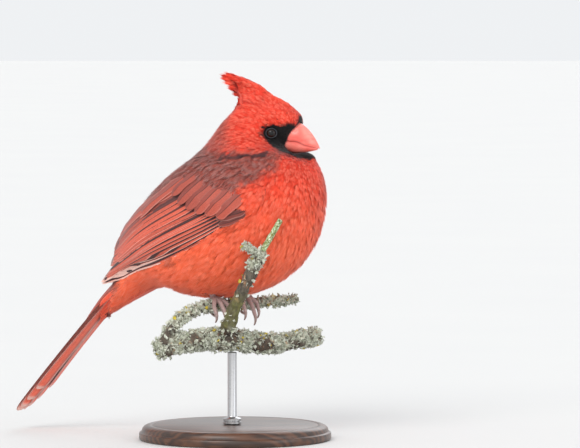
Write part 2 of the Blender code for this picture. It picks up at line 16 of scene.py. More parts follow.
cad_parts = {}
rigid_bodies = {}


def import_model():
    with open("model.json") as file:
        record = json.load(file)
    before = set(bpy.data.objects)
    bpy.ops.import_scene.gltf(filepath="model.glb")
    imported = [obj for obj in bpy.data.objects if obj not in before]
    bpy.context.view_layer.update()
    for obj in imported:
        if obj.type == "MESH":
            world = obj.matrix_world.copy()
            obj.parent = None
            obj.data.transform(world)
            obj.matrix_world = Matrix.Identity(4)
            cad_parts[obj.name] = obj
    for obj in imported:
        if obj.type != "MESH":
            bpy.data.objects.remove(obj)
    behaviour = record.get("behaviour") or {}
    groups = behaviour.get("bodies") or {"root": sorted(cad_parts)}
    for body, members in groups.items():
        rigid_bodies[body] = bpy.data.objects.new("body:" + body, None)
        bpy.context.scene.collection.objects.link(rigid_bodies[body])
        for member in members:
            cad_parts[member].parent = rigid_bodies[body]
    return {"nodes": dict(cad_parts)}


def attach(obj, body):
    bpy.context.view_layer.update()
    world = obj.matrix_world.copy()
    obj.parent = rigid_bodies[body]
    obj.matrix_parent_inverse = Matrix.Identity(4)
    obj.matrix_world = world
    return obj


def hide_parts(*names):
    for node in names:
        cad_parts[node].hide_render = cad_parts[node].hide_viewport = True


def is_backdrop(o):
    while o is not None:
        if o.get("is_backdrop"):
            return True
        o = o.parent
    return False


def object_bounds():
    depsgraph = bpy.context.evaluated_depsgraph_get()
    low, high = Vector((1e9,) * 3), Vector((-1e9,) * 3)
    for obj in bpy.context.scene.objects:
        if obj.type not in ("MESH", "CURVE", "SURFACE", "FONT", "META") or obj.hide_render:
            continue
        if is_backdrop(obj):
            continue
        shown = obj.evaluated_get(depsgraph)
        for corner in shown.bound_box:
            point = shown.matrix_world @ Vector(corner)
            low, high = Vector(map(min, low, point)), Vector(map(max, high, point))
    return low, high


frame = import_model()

bl_info = {
    "name": "Cardinal Looks",
    "version": (1, 0, 0),
    "blender": (4, 5, 0),
    "location": "3D View > Sidebar > Cardinal",
    "description": "Plumage, bill, eyes, feet, perch and stand of a life-size cardinal model",
    "category": "Object",
}

MM = 0.001
CAD_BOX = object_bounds()
WELD = 1e-6

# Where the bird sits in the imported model
BIRD_YAW = math.radians(-20)
BIRD_PLACE = np.array((0.0, 15.0, 0.0))
BIRD_TURN = np.array(Matrix.Rotation(BIRD_YAW, 3, "Z"))

# Places on the bird, in its own frame
EYE_PLACE = (24.8, 10.8, 165.7)
EYE_RADIUS = 3.7
EYE_SURFACE = (24.9, 12.4, 165.8)
BILL_MIDDLE = (36.0, 0.0, 163.0)
TAIL_MIDDLE = (-100.0, 0.0, 40.0)


def to_world(points):
    """Points of the bird's own frame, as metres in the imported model's frame."""
    return (np.asarray(points, float) @ BIRD_TURN.T + BIRD_PLACE) * MM


def to_bird(points):
    """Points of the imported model's frame, as millimetres in the bird's own frame."""
    return (np.asarray(points, float) / MM - BIRD_PLACE) @ BIRD_TURN


def turned(directions):
    """Directions of the bird's own frame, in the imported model's frame."""
    return np.asarray(directions, float) @ BIRD_TURN.T


def unit(vectors):
    length = np.linalg.norm(vectors, axis=-1, keepdims=True)
    return vectors / np.maximum(length, 1e-9)


def linear(colour):
    """A screen colour of 0 to 1 as the linear colour that shaders take."""
    return tuple(((c + 0.055) / 1.055) ** 2.4 if c > 0.04045 else c / 12.92 for c in colour)


def ramp(values, knots):
    """Values read from a line through knots of (value, result), with level ends."""
    places, results = zip(*knots)
    return np.interp(values, places, results)


def spline(points, share):
    """A point on the smooth curve through points, at a share from 0 to 1 of its spans."""
    points = np.asarray(points, float)
    spans = len(points) - 1
    place = min(max(share, 0.0), 1.0) * spans
    i = min(int(place), spans - 1)
    t = place - i
    p, q, r, s = (points[min(max(k, 0), spans)] for k in (i - 1, i, i + 1, i + 2))
    return 0.5 * (2 * q + (r - p) * t + (2 * p - 5 * q + 4 * r - s) * t**2 + (3 * q - p - 3 * r + s) * t**3)


def segment_distance(points, start, end):
    start, end = np.asarray(start, float), np.asarray(end, float)
    along = end - start
    share = np.clip(((points - start) @ along) / max(along @ along, 1e-9), 0, 1)
    return np.linalg.norm(points - start - share[:, None] * along, axis=1)


def outline_depth(points, outline):
    """How far each point lies inside a closed outline, below 0 outside it."""
    corners = np.asarray(outline, float)
    nearest = np.full(len(points), np.inf)
    inside = np.zeros(len(points), bool)
    for a, b in zip(corners, np.roll(corners, -1, axis=0)):
        nearest = np.minimum(nearest, segment_distance(points, a, b))
        spans = (a[1] > points[:, 1]) != (b[1] > points[:, 1])
        rise = b[1] - a[1] if b[1] != a[1] else 1e-9
        crossing = a[0] + (points[:, 1] - a[1]) / rise * (b[0] - a[0])
        inside ^= spans & (points[:, 0] < crossing)
    return np.where(inside, nearest, -nearest)


def smooth_step(values, low, high):
    """0 at low and 1 at high, eased in between."""
    share = np.clip((values - low) / (high - low), 0, 1)
    return share * share * (3 - 2 * share)


# Node trees


def fill_sockets(tree, node, links):
    """Links or sets a node's sockets, each given by name or number."""
    for socket, value in links.items():
        if isinstance(value, bpy.types.NodeSocket):
            tree.links.new(value, node.inputs[socket])
        else:
            node.inputs[socket].default_value = value


def add_node(tree, kind, links=None, **settings):
    """A node with its settings, its sockets linked or set."""
    made = tree.nodes.new(kind)
    for name, value in settings.items():
        setattr(made, name, value)
    fill_sockets(tree, made, links or {})
    return made


def math_node(tree, operation, first, second=0.0, third=0.0):
    links = {0: first, 1: second, 2: third}
    return add_node(tree, "ShaderNodeMath", links, operation=operation).outputs[0]


def vector_node(tree, operation, links):
    return add_node(tree, "ShaderNodeVectorMath", links, operation=operation)


def read_attribute(tree, name, kind="FLOAT"):
    """An attribute's value in a geometry tree."""
    made = add_node(tree, "GeometryNodeInputNamedAttribute", {"Name": name}, data_type=kind)
    return made.outputs["Attribute"]


def shader_value(tree, name):
    """An attribute's value in a shader tree."""
    return add_node(tree, "ShaderNodeAttribute", attribute_name=name).outputs["Fac"]


def mix_colour(tree, factor, first, second, blend="MIX"):
    first, second = (c if isinstance(c, bpy.types.NodeSocket) else (*c[:3], 1) for c in (first, second))
    links = {0: factor, 6: first, 7: second}
    return add_node(tree, "ShaderNodeMix", links, data_type="RGBA", blend_type=blend).outputs[2]


def spread_over(tree, value, low, high, to_low=0.0, to_high=1.0):
    links = {0: value, 1: low, 2: high, 3: to_low, 4: to_high}
    return add_node(tree, "ShaderNodeMapRange", links, interpolation_type="SMOOTHSTEP").outputs[0]


def new_group(name, kind, inputs=(), outputs=()):
    """A node group with named sockets, and its input and output nodes."""
    tree = bpy.data.node_groups.new(name, kind)
    for label, socket, default in inputs:
        made = tree.interface.new_socket(name=label, in_out="INPUT", socket_type=socket)
        if default is not None:
            made.default_value = default
    for label, socket in outputs:
        tree.interface.new_socket(name=label, in_out="OUTPUT", socket_type=socket)
    return tree, tree.nodes.new("NodeGroupInput"), tree.nodes.new("NodeGroupOutput")


def new_material(name, roughness, **settings):
    """A material and its tree, shader and object coordinates. Settings are the shader's own sockets."""
    material = bpy.data.materials.new(name)
    material.use_nodes = True
    tree = material.node_tree
    shader = tree.nodes["Principled BSDF"]
    shader.inputs["Roughness"].default_value = roughness
    for socket, value in settings.items():
        shader.inputs[socket.replace("_", " ").title().replace("Ior", "IOR")].default_value = value
    place = tree.nodes.new("ShaderNodeTexCoord").outputs["Object"]
    return material, tree, shader, place


def add_bump(tree, shader, height, distance, strength=1.0):
    links = {"Height": height, "Distance": distance, "Strength": strength}
    bump = add_node(tree, "ShaderNodeBump", links)
    tree.links.new(bump.outputs[0], shader.inputs["Normal"])


def noise_value(tree, place, scale, detail=3.0, roughness=0.5, stretch=None):
    """Noise of 0 to 1. The stretch multiplies the place along each axis."""
    if stretch:
        place = add_node(tree, "ShaderNodeMapping", {"Vector": place, "Scale": stretch}).outputs[0]
    links = {"Vector": place, "Scale": scale, "Detail": detail, "Roughness": roughness}
    return add_node(tree, "ShaderNodeTexNoise", links).outputs[0]


def use_group(tree, name, links=None):
    """The outputs of a node group placed in a tree."""
    made = tree.nodes.new("ShaderNodeGroup")
    made.node_tree = bpy.data.node_groups[name]
    fill_sockets(tree, made, links or {})
    return made.outputs


# Meshes and pieces


def new_mesh(name, points, faces, material=None, smooth=True):
    mesh = bpy.data.meshes.new(name)
    mesh.from_pydata(np.asarray(points, float).tolist(), [], faces)
    if material:
        mesh.materials.append(material)
    if smooth:
        mesh.shade_smooth()
    return mesh


def paint(mesh, material):
    """Gives the mesh one material in place of those it has."""
    mesh.materials.clear()
    mesh.materials.append(material)


def add_object(name, mesh):
    obj = bpy.data.objects.new(name, mesh)
    bpy.context.scene.collection.objects.link(obj)
    return obj


def add_piece(name, mesh, slot, *replaced):
    """A finished piece of the model."""
    obj = add_object(name, mesh)
    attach(obj, "root")
    if replaced:
        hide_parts(*replaced)
    return obj


def store(mesh, name, values, kind="FLOAT", domain="POINT"):
    layer = mesh.attributes.new(name, kind, domain)
    key = {"FLOAT": "value", "INT": "value", "FLOAT_VECTOR": "vector", "FLOAT2": "vector"}[kind]
    whole = np.int32 if kind == "INT" else np.float32
    layer.data.foreach_set(key, np.ascontiguousarray(values, whole).ravel())


def read_points(mesh):
    points = np.empty(len(mesh.vertices) * 3, np.float32)
    mesh.vertices.foreach_get("co", points)
    return points.reshape(-1, 3).astype(float)


def read_normals(mesh):
    normals = np.empty(len(mesh.vertices) * 3, np.float32)
    mesh.vertex_normals.foreach_get("vector", normals)
    return normals.reshape(-1, 3).astype(float)


def write_points(mesh, points):
    mesh.vertices.foreach_set("co", np.ascontiguousarray(points, np.float32).ravel())
    mesh.update()


def baked_mesh(obj, name):
    """The object's mesh with its modifiers applied, in place of the object."""
    graph = bpy.context.evaluated_depsgraph_get()
    mesh = bpy.data.meshes.new_from_object(obj.evaluated_get(graph), depsgraph=graph)
    mesh.name = name
    old = obj.data
    bpy.data.objects.remove(obj)
    bpy.data.meshes.remove(old)
    return mesh


def merged_copy(names):
    """The nodes' meshes in one mesh, each closed."""
    made = bmesh.new()
    for name in names:
        made.from_mesh(frame["nodes"][name].data)
    bmesh.ops.remove_doubles(made, verts=made.verts[:], dist=WELD)
    return made


def remeshed(made, name, voxel, smoothing, factor=0.5):
    """A closed even mesh of a bmesh's solids, smoothed."""
    mesh = bpy.data.meshes.new(name)
    made.to_mesh(mesh)
    made.free()
    obj = add_object(name, mesh)
    step = obj.modifiers.new("Even", "REMESH")
    step.mode = "VOXEL"
    step.voxel_size = voxel
    step.use_smooth_shade = True
    if smoothing:
        step = obj.modifiers.new("Soft", "SMOOTH")
        step.factor = factor
        step.iterations = smoothing
    return baked_mesh(obj, name)


def unwrap(mesh, margin=0.004):
    """Gives the mesh a map named OFBake, unwrapped on its own shape."""
    obj = add_object("unwrap", mesh)
    bpy.context.view_layer.objects.active = obj
    obj.select_set(True)
    while mesh.uv_layers:
        mesh.uv_layers.remove(mesh.uv_layers[0])
    mesh.uv_layers.new(name="OFBake")
    bpy.ops.object.mode_set(mode="EDIT")
    bpy.ops.mesh.select_all(action="SELECT")
    bpy.ops.uv.smart_project(angle_limit=math.radians(66), island_margin=margin)
    bpy.ops.object.mode_set(mode="OBJECT")
    bpy.data.objects.remove(obj)


# What the plumage is like at each place of the bird, in its own frame

# Start, end and radius of each stroke of the black mask
MASK_STROKES = (
    ((37.5, 0.0, 171.5), (34.0, 5.0, 171.0), 2.8),
    ((34.5, 5.5, 169.0), (27.0, 11.5, 166.4), 2.9),
    ((28.0, 11.0, 164.0), (32.0, 8.0, 164.0), 4.0),
    ((27.2, 11.0, 161.5), (32.5, 7.0, 156.8), 3.2),
    ((30.0, 8.0, 155.9), (36.0, 6.0, 154.6), 2.3),
    ((36.0, 6.0, 154.6), (43.0, 3.0, 154.0), 2.2),
    ((32.0, 0.0, 154.5), (42.5, 0.0, 154.4), 3.6),
    ((33.0, 6.0, 168.0), (31.0, 8.0, 158.0), 4.0),
)
MASK_EYE_RADIUS = 3.6
# Outlines seen from the side
# The brown outline's rear edge, from (-56, 90.5) back to (-95, 62), also browns the rump's side under the wing
# tip: partly the dusky coverts' own colour, partly painted shadow of the wing
BROWN_OUTLINE = (
    (-14, 167), (5, 159.5), (20, 157.6), (32, 157), (34, 151), (28, 146), (20.5, 142.5), (16, 137), (13, 131),
    (15, 124), (-2, 114), (-14, 110), (-27, 105), (-45, 98), (-56, 90.5), (-65.5, 76.8), (-74, 67), (-95, 62),
    (-95, 110), (-45, 150), (-22, 172),
)
FLIGHT_OUTLINE = (
    (18, 122.5), (13, 126), (6.5, 129.5), (0, 130.5), (-7, 130.5), (-15, 133), (-22, 138.5), (-45, 126.5),
    (-61, 110), (-67, 100), (-80, 84), (-79, 78), (-61.9, 87.2), (-44.9, 93.5), (-26.6, 100.8),
    (-13.7, 106.1), (-2.4, 109.8), (8.9, 115.7), (16.1, 120.4),
)
FLIGHT_SINK = 2.2
COVER_SEARCH = 8.0
CREST_PULL = 2.2
# Line of the painted shadow in the gap where the nape's feathers end over the mantle, seen from the side
NAPE_SHADOW_LINE = ((6.0, 157.2), (18.8, 156.6), (28.0, 156.4))
FLANK_SPOT = ((-22.0, 100.0), 4.8)
# How far the crest's top is raised, by place along the bird
CREST_GAIN = ((-6, 0.8), (2, 2.2), (6.5, 2.4), (14.8, 1.5), (19, 0.0), (23, -1.0), (29, -0.5), (33, 0.0))
CREST_FLOW = (-0.955, 0.0, 0.296)
CREST_LENGTHS = ((-2, 6.6), (10, 5.4), (28, 3.4))
CREST_DEPTH = 0.5
# By distance from the bill
TUFT_LENGTHS = ((4, 1.3), (10, 2.0), (18, 3.4), (30, 6.0), (50, 8.5), (90, 10.5))
COAT_DEPTHS = ((4, 0.4), (10, 0.55), (18, 0.9), (30, 1.5), (60, 2.1))
RAGGED_PITCH = 0.35
NAPE_OUTLINE = ((-30, 160), (0, 158), (12, 160), (6, 172), (2, 184), (-20, 184))
FACE_REACH = 14.0
HEAD_LINE = ((-12.0, 163.5), (51.6, 140.0))


def above_line(points, line):
    """How far points lie above a line seen from the side."""
    (back_x, back_z), (front_x, front_z) = line
    rise = (front_z - back_z) / (front_x - back_x)
    return points[:, 2] - back_z - rise * (points[:, 0] - back_x)


def mirrored(points):
    """The same places on the left side."""
    return np.column_stack((points[:, 0], np.abs(points[:, 1]), points[:, 2]))


def plumage_fields(points):
    """The plumage's lie, lengths in millimetres, colour shares and region at each place."""
    left = mirrored(points)
    side = points[:, [0, 2]]
    reach = np.linalg.norm(points - BILL_MIDDLE, axis=1)
    eye = np.linalg.norm(left - EYE_SURFACE, axis=1)
    ragged = np.array([noise.noise(Vector(p) * RAGGED_PITCH) for p in points])
    strokes = [segment_distance(left, a, b) - radius for a, b, radius in MASK_STROKES]
    mask_depth = -np.minimum.reduce([*strokes, eye - MASK_EYE_RADIUS])
    crest = smooth_step(points[:, 2], 178, 188)
    head = smooth_step(above_line(points, HEAD_LINE), -3, 3)
    brown = smooth_step(outline_depth(side, BROWN_OUTLINE) + 3.0 * ragged, -3.0, 3.0)
    nape = smooth_step(outline_depth(side, NAPE_OUTLINE) + 4 * ragged, -3, 5)
    flight = np.minimum(outline_depth(side, FLIGHT_OUTLINE), left[:, 1] - 1)
    # Painted shadow along the gap between nape and mantle, on the sides only
    painted_nape_shadow = np.minimum.reduce([segment_distance(side, a, b) for a, b in zip(NAPE_SHADOW_LINE, NAPE_SHADOW_LINE[1:])])
    painted_nape_shadow = smooth_step(painted_nape_shadow + 0.5 * ragged, 1.3, 0.5) * smooth_step(left[:, 1], 9, 14)
    place, radius = FLANK_SPOT
    spot = smooth_step(np.linalg.norm(side - place, axis=1) + 1.5 * ragged, radius, radius * 0.4)
    fields = {
        "flight": flight,
        # Painted shadow of the nape's gap, and the flank's dark spot where under-feathers show
        "shade": np.maximum(painted_nape_shadow, 0.45 * spot),
        "mask": smooth_step(mask_depth + 0.5 * ragged, -0.35, 0.35),
        "brown": np.maximum(brown, 0.62 * nape),
        # More orange and lighter towards the bottom: partly the belly's own colour, partly painted light from
        # below
        "orange": smooth_step(points[:, 2] + 6 * ragged, 158, 95),
        "length": ramp(reach, TUFT_LENGTHS),
        "depth": ramp(reach, COAT_DEPTHS),
        "free": crest * smooth_step(points[:, 0], 12, 0),
        "eye": eye,
        "reach": reach,
        "head": head,
    }
    fields["length"] = fields["length"] * (1 - crest) + crest * ramp(points[:, 0], CREST_LENGTHS)
    fields["length"] *= 1 + 0.25 * brown * (1 - crest)
    fields["width"] = 0.55 + ramp(reach, ((25, 0.30), (60, 0.24))) * fields["length"]
    fields["depth"] = fields["depth"] * (1 - crest) + CREST_DEPTH * crest
    from_bill = unit(points - BILL_MIDDLE) / np.maximum(reach, 6)[:, None]
    to_tail = np.asarray(TAIL_MIDDLE) - points
    far = np.linalg.norm(to_tail, axis=1)
    lie = unit(from_bill + unit(to_tail) / np.maximum(far, 30)[:, None])
    fields["lie"] = unit(lie * (1 - crest[:, None]) + np.asarray(CREST_FLOW) * crest[:, None])
    return fields


# The skin

SKIN_VOXEL = 0.85
SKIN_SWELL = 0.3
SKIN_SMOOTHING = 10
EYE_PLUG = ((24.8, 8.4, 165.7), 4.3)
BILL_PLUG = ((31.6, 0.0, 163.6), (4.0, 6.3, 7.4))
BILL_LEAN = math.radians(23.5)
CHIN_PLUG = ((39.0, 0.0, 151.2), (8.0, 7.0, 5.0))
# Where the wings are cut off as part of the skin, and as part of the surface that feathers lie on
WING_FRONT_END = -50.0
WING_WHOLE_END = -200.0
WING_MARGIN = 5
EYE_BARE = 3.1
STERN_BARE = -2.0
REGIONS = ("face", "head", "nape", "breast", "belly", "back", "side_left", "side_right", "under")


def body_mesh(name, wing_end):
    """One closed surface through the trunk, neck, head and crest, and the wings as far back as wing_end."""
    made = merged_copy(("wing_left", "wing_right"))
    cut = Vector(to_world((wing_end, 0, 0)))
    whole = made.verts[:] + made.edges[:] + made.faces[:]
    back = Vector(turned((-1, 0, 0)))
    bmesh.ops.bisect_plane(made, geom=whole, plane_co=cut, plane_no=back, clear_outer=True)
    bmesh.ops.holes_fill(made, edges=[e for e in made.edges if e.is_boundary])
    for part in ("trunk", "neck", "head", "crest"):
        made.from_mesh(frame["nodes"][part].data)
    bmesh.ops.remove_doubles(made, verts=made.verts[:], dist=WELD)
    made.normal_update()
    for vert in made.verts:
        vert.co += vert.normal * SKIN_SWELL * MM
    place, radius = EYE_PLUG
    for side in (1, -1):
        centre = Matrix.Translation(Vector(to_world((place[0], place[1] * side, place[2]))))
        bmesh.ops.create_icosphere(made, subdivisions=3, radius=radius * MM, matrix=centre)
    for (place, radii), lean in ((BILL_PLUG, BILL_LEAN), (CHIN_PLUG, 0.0)):
        shape = Matrix.Diagonal((*(Vector(radii) * MM), 1))
        turn = Matrix.Rotation(BIRD_YAW, 4, "Z") @ Matrix.Rotation(lean, 4, "Y")
        whole = Matrix.Translation(Vector(to_world(place))) @ turn @ shape
        bmesh.ops.create_icosphere(made, subdivisions=4, radius=1, matrix=whole)
    return remeshed(made, name, SKIN_VOXEL * MM, SKIN_SMOOTHING)


def region_of(points, fields):
    """The number of the coat's piece at each place."""
    region = np.full(len(points), REGIONS.index("breast"))
    region[points[:, 0] < 18] = REGIONS.index("belly")
    flank = (np.abs(points[:, 1]) > 17) & (points[:, 0] < 18)
    region[flank & (points[:, 1] > 0)] = REGIONS.index("side_left")
    region[flank & (points[:, 1] < 0)] = REGIONS.index("side_right")
    region[(fields["brown"] > 0.5) & (fields["head"] < 0.5)] = REGIONS.index("back")
    region[(points[:, 0] < -34) & (points[:, 2] < 92)] = REGIONS.index("under")
    region[fields["head"] > 0.5] = REGIONS.index("nape")
    region[(fields["head"] > 0.5) & (fields["reach"] < 27)] = REGIONS.index("head")
    region[fields["reach"] < FACE_REACH] = REGIONS.index("face")
    return region


def vane_cover(points, normals, fields):
    """1 where a wing feather lies over a place on the body, 0 elsewhere."""
    hull = body_mesh("hull", WING_WHOLE_END)
    nearest = smooth_surface(hull)
    trees = []
    for side in (1, -1):
        vanes = wing_mesh(nearest, side, "vanes", None)
        faces = [tuple(p.vertices) for p in vanes.polygons]
        trees.append(BVHTree.FromPolygons([Vector(p) for p in read_points(vanes)], faces))
        bpy.data.meshes.remove(vanes)
    bpy.data.meshes.remove(hull)
    covered = np.zeros(len(points))
    for k in np.nonzero(fields["flight"] > -COVER_SEARCH)[0]:
        start = Vector(points[k] - normals[k] * COVER_SEARCH * MM)
        out = Vector(normals[k])
        covered[k] = any(tree.ray_cast(start, out, 2 * COVER_SEARCH * MM)[0] for tree in trees)
    return covered


def neighbour_mean(mesh, values, times):
    """Values evened out over each point's neighbours, a number of times."""
    edges = np.empty(len(mesh.edges) * 2, np.int32)
    mesh.edges.foreach_get("vertices", edges)
    first, second = edges.reshape(-1, 2).T
    count = np.bincount(np.concatenate((first, second)), minlength=len(values))
    for _ in range(times):
        total = np.bincount(first, values[second], len(values))
        total = total + np.bincount(second, values[first], len(values))
        values = total / np.maximum(count, 1)
    return values


def make_skin(sizes):
    mesh = body_mesh("skin", WING_FRONT_END)
    points, normals = read_points(mesh), read_normals(mesh)
    fields = plumage_fields(to_bird(points))
    hidden = neighbour_mean(mesh, vane_cover(points, normals, fields), WING_MARGIN)
    depth = fields["depth"] * sizes.coat_depth / MM
    side = to_bird(points)
    gain = ramp(side[:, 0], CREST_GAIN) * smooth_step(normals[:, 2], 0.1, 0.6)
    gain = gain * smooth_step(side[:, 2], 174, 182)
    sink = FLIGHT_SINK * smooth_step(hidden, 0.4, 1.0)
    rear = smooth_step(-normals[:, 0], 0.0, 0.6) * smooth_step(side[:, 2], 180, 186)
    sink += CREST_PULL * rear * smooth_step(side[:, 0], 8, 2)
    inset = points - normals * (depth + SKIN_SWELL + sink - gain)[:, None] * MM
    write_points(mesh, inset)
    unwrap(mesh)
    normals = read_normals(mesh)
    flow = turned(fields["lie"])
    lie = unit(flow - normals * np.sum(flow * normals, axis=1, keepdims=True))
    stiff = fields["free"][:, None]
    lie = unit(lie * (1 - stiff) + flow * stiff)
    normals = unit(normals - lie * np.sum(lie * normals, axis=1, keepdims=True))
    for name in ("mask", "brown", "orange", "free", "shade"):
        store(mesh, name, fields[name])
    store(mesh, "length", fields["length"] * MM)
    store(mesh, "width", fields["width"] * MM)
    store(mesh, "depth", depth * MM)
    stern = (side[:, [0, 2]] - TAIL_ROOT) @ (-math.cos(TAIL_DIP), -math.sin(TAIL_DIP)) > STERN_BARE
    bare = (fields["eye"] < EYE_BARE) | (hidden > 0.93) | stern
    store(mesh, "cover", np.where(bare, 0.0, 1.0))
    store(mesh, "lie", lie, "FLOAT_VECTOR")
    store(mesh, "out", normals, "FLOAT_VECTOR")
    region = region_of(to_bird(points), fields)
    first = np.empty(len(mesh.polygons), np.int32)
    mesh.polygons.foreach_get("loop_start", first)
    corner = np.empty(len(mesh.loops), np.int32)
    mesh.loops.foreach_get("vertex_index", corner)
    store(mesh, "region", region[corner[first]], "INT", "FACE")
    return mesh


# The coat


def tuft_mesh(name, seed, barbs, vane_end=0.72, fray=1.0):
    """One soft feather of unit length along x and unit width: a vane with loose barbs past its end."""
    rng = np.random.default_rng(seed)
    points, faces, strand = [], [], []
    rows = ((0.0, 0.16), (0.3, 0.36), (0.55, 0.38), (vane_end, 0.12))
    for x, half in rows:
        points += [(x, -half, -0.03), (x, 0.0, 0.05), (x, half, -0.03)]
        strand += [0.5] * 3
    for row in range(len(rows) - 1):
        for column in (0, 1):
            a = 3 * row + column
            faces.append((a, a + 3, a + 4, a + 1))
    for k in range(barbs):
        across = 2 * (k + rng.uniform(-0.3, 0.3)) / (barbs - 1) - 1
        start = 0.25 + 0.25 * rng.random()
        end = 1.0 - 0.22 * across**2 + rng.uniform(-0.08, 0.06)
        y0 = 0.34 * across
        y1 = y0 * (1.15 + 0.35 * fray * rng.random()) + 0.05 * fray * rng.uniform(-1, 1)
        y_mid = (y0 + y1) / 2 + 0.02 * rng.uniform(-1, 1)
        half = rng.uniform(0.022, 0.042)
        lift = rng.uniform(-0.05, 0.12)
        first = len(points)
        x_mid = (start + end) / 2
        points += [(start, y0 - half, 0.03), (start, y0 + half, 0.03)]
        points += [(x_mid, y_mid - half * 0.8, 0.05 + lift / 2), (x_mid, y_mid + half * 0.8, 0.05 + lift / 2)]
        points += [(end, y1, lift)]
        faces += [(first, first + 2, first + 3, first + 1), (first + 2, first + 4, first + 3)]
        strand += [rng.random()] * 5
    points = np.array(points)
    mesh = new_mesh(name, points, faces)
    along = np.clip(points[:, 0], 0, 1)
    store(mesh, "along", along)
    store(mesh, "strand", strand)
    store(mesh, "height", -0.15 + 1.15 * along**0.8 + 0.9 * points[:, 2])
    patch = np.column_stack((along, np.clip(points[:, 1] + 0.5, 0, 1), np.zeros(len(points))))
    store(mesh, "patch", patch, "FLOAT_VECTOR")
    return mesh


def tuft_collection(name, seeds, **shape):
    group = bpy.data.collections.new(name)
    bpy.context.scene.collection.children.link(group)
    for seed in seeds:
        group.objects.link(bpy.data.objects.new(f"{name}_{seed}", tuft_mesh(f"{name}_{seed}", seed, **shape)))
    return group


COAT_INPUTS = (
    ("Geometry", "NodeSocketGeometry", None),
    ("Tufts", "NodeSocketCollection", None),
    ("Material", "NodeSocketMaterial", None),
    ("Region", "NodeSocketInt", 0),
    ("Spacing", "NodeSocketFloat", 0.001),
    ("Length Scale", "NodeSocketFloat", 1.0),
    ("Disorder", "NodeSocketFloat", 0.2),
    ("Seed", "NodeSocketInt", 1),
)
PATCH_SIZE = 0.003
FILL = 3.0


def random_value(tree, kind, low, high, seed):
    """A random value node's socket. Float, whole number and vector sockets lie at other places."""
    inputs, output = {"FLOAT": ((2, 3), 1), "INT": ((4, 5), 2), "FLOAT_VECTOR": ((0, 1), 0)}[kind]
    links = {inputs[0]: low, inputs[1]: high, "Seed": seed}
    return add_node(tree, "FunctionNodeRandomValue", links, data_type=kind).outputs[output]


def spread_roots(tree, surface, spacing, seed, chosen=True):
    """Points spread evenly over a surface, as far as its cover value lets them."""
    crowd = math_node(tree, "DIVIDE", FILL, math_node(tree, "MULTIPLY", spacing, spacing))
    links = {
        "Mesh": surface, "Selection": chosen, "Distance Min": spacing, "Density Max": crowd,
        "Density Factor": read_attribute(tree, "cover"), "Seed": seed,
    }
    return add_node(tree, "GeometryNodeDistributePointsOnFaces", links, distribute_method="POISSON")


def place_shapes(tree, roots, shapes, rotation, scale, seeds):
    """One of a collection's four shapes at each root, all realized. Each carries a random value, tuft."""
    kinds = add_node(tree, "GeometryNodeCollectionInfo", {0: shapes, 1: True, 2: True})
    chance = random_value(tree, "FLOAT", 0.0, 1.0, seeds[0])
    links = {"Geometry": roots.outputs["Points"], "Name": "tuft", "Value": chance}
    kept = add_node(tree, "GeometryNodeStoreNamedAttribute", links, data_type="FLOAT", domain="POINT")
    links = {
        "Points": kept.outputs[0], "Instance": kinds.outputs[0], "Pick Instance": True,
        "Instance Index": random_value(tree, "INT", 0, 3, seeds[1]), "Rotation": rotation, "Scale": scale,
    }
    placed = add_node(tree, "GeometryNodeInstanceOnPoints", links)
    return add_node(tree, "GeometryNodeRealizeInstances", {0: placed.outputs[0]})


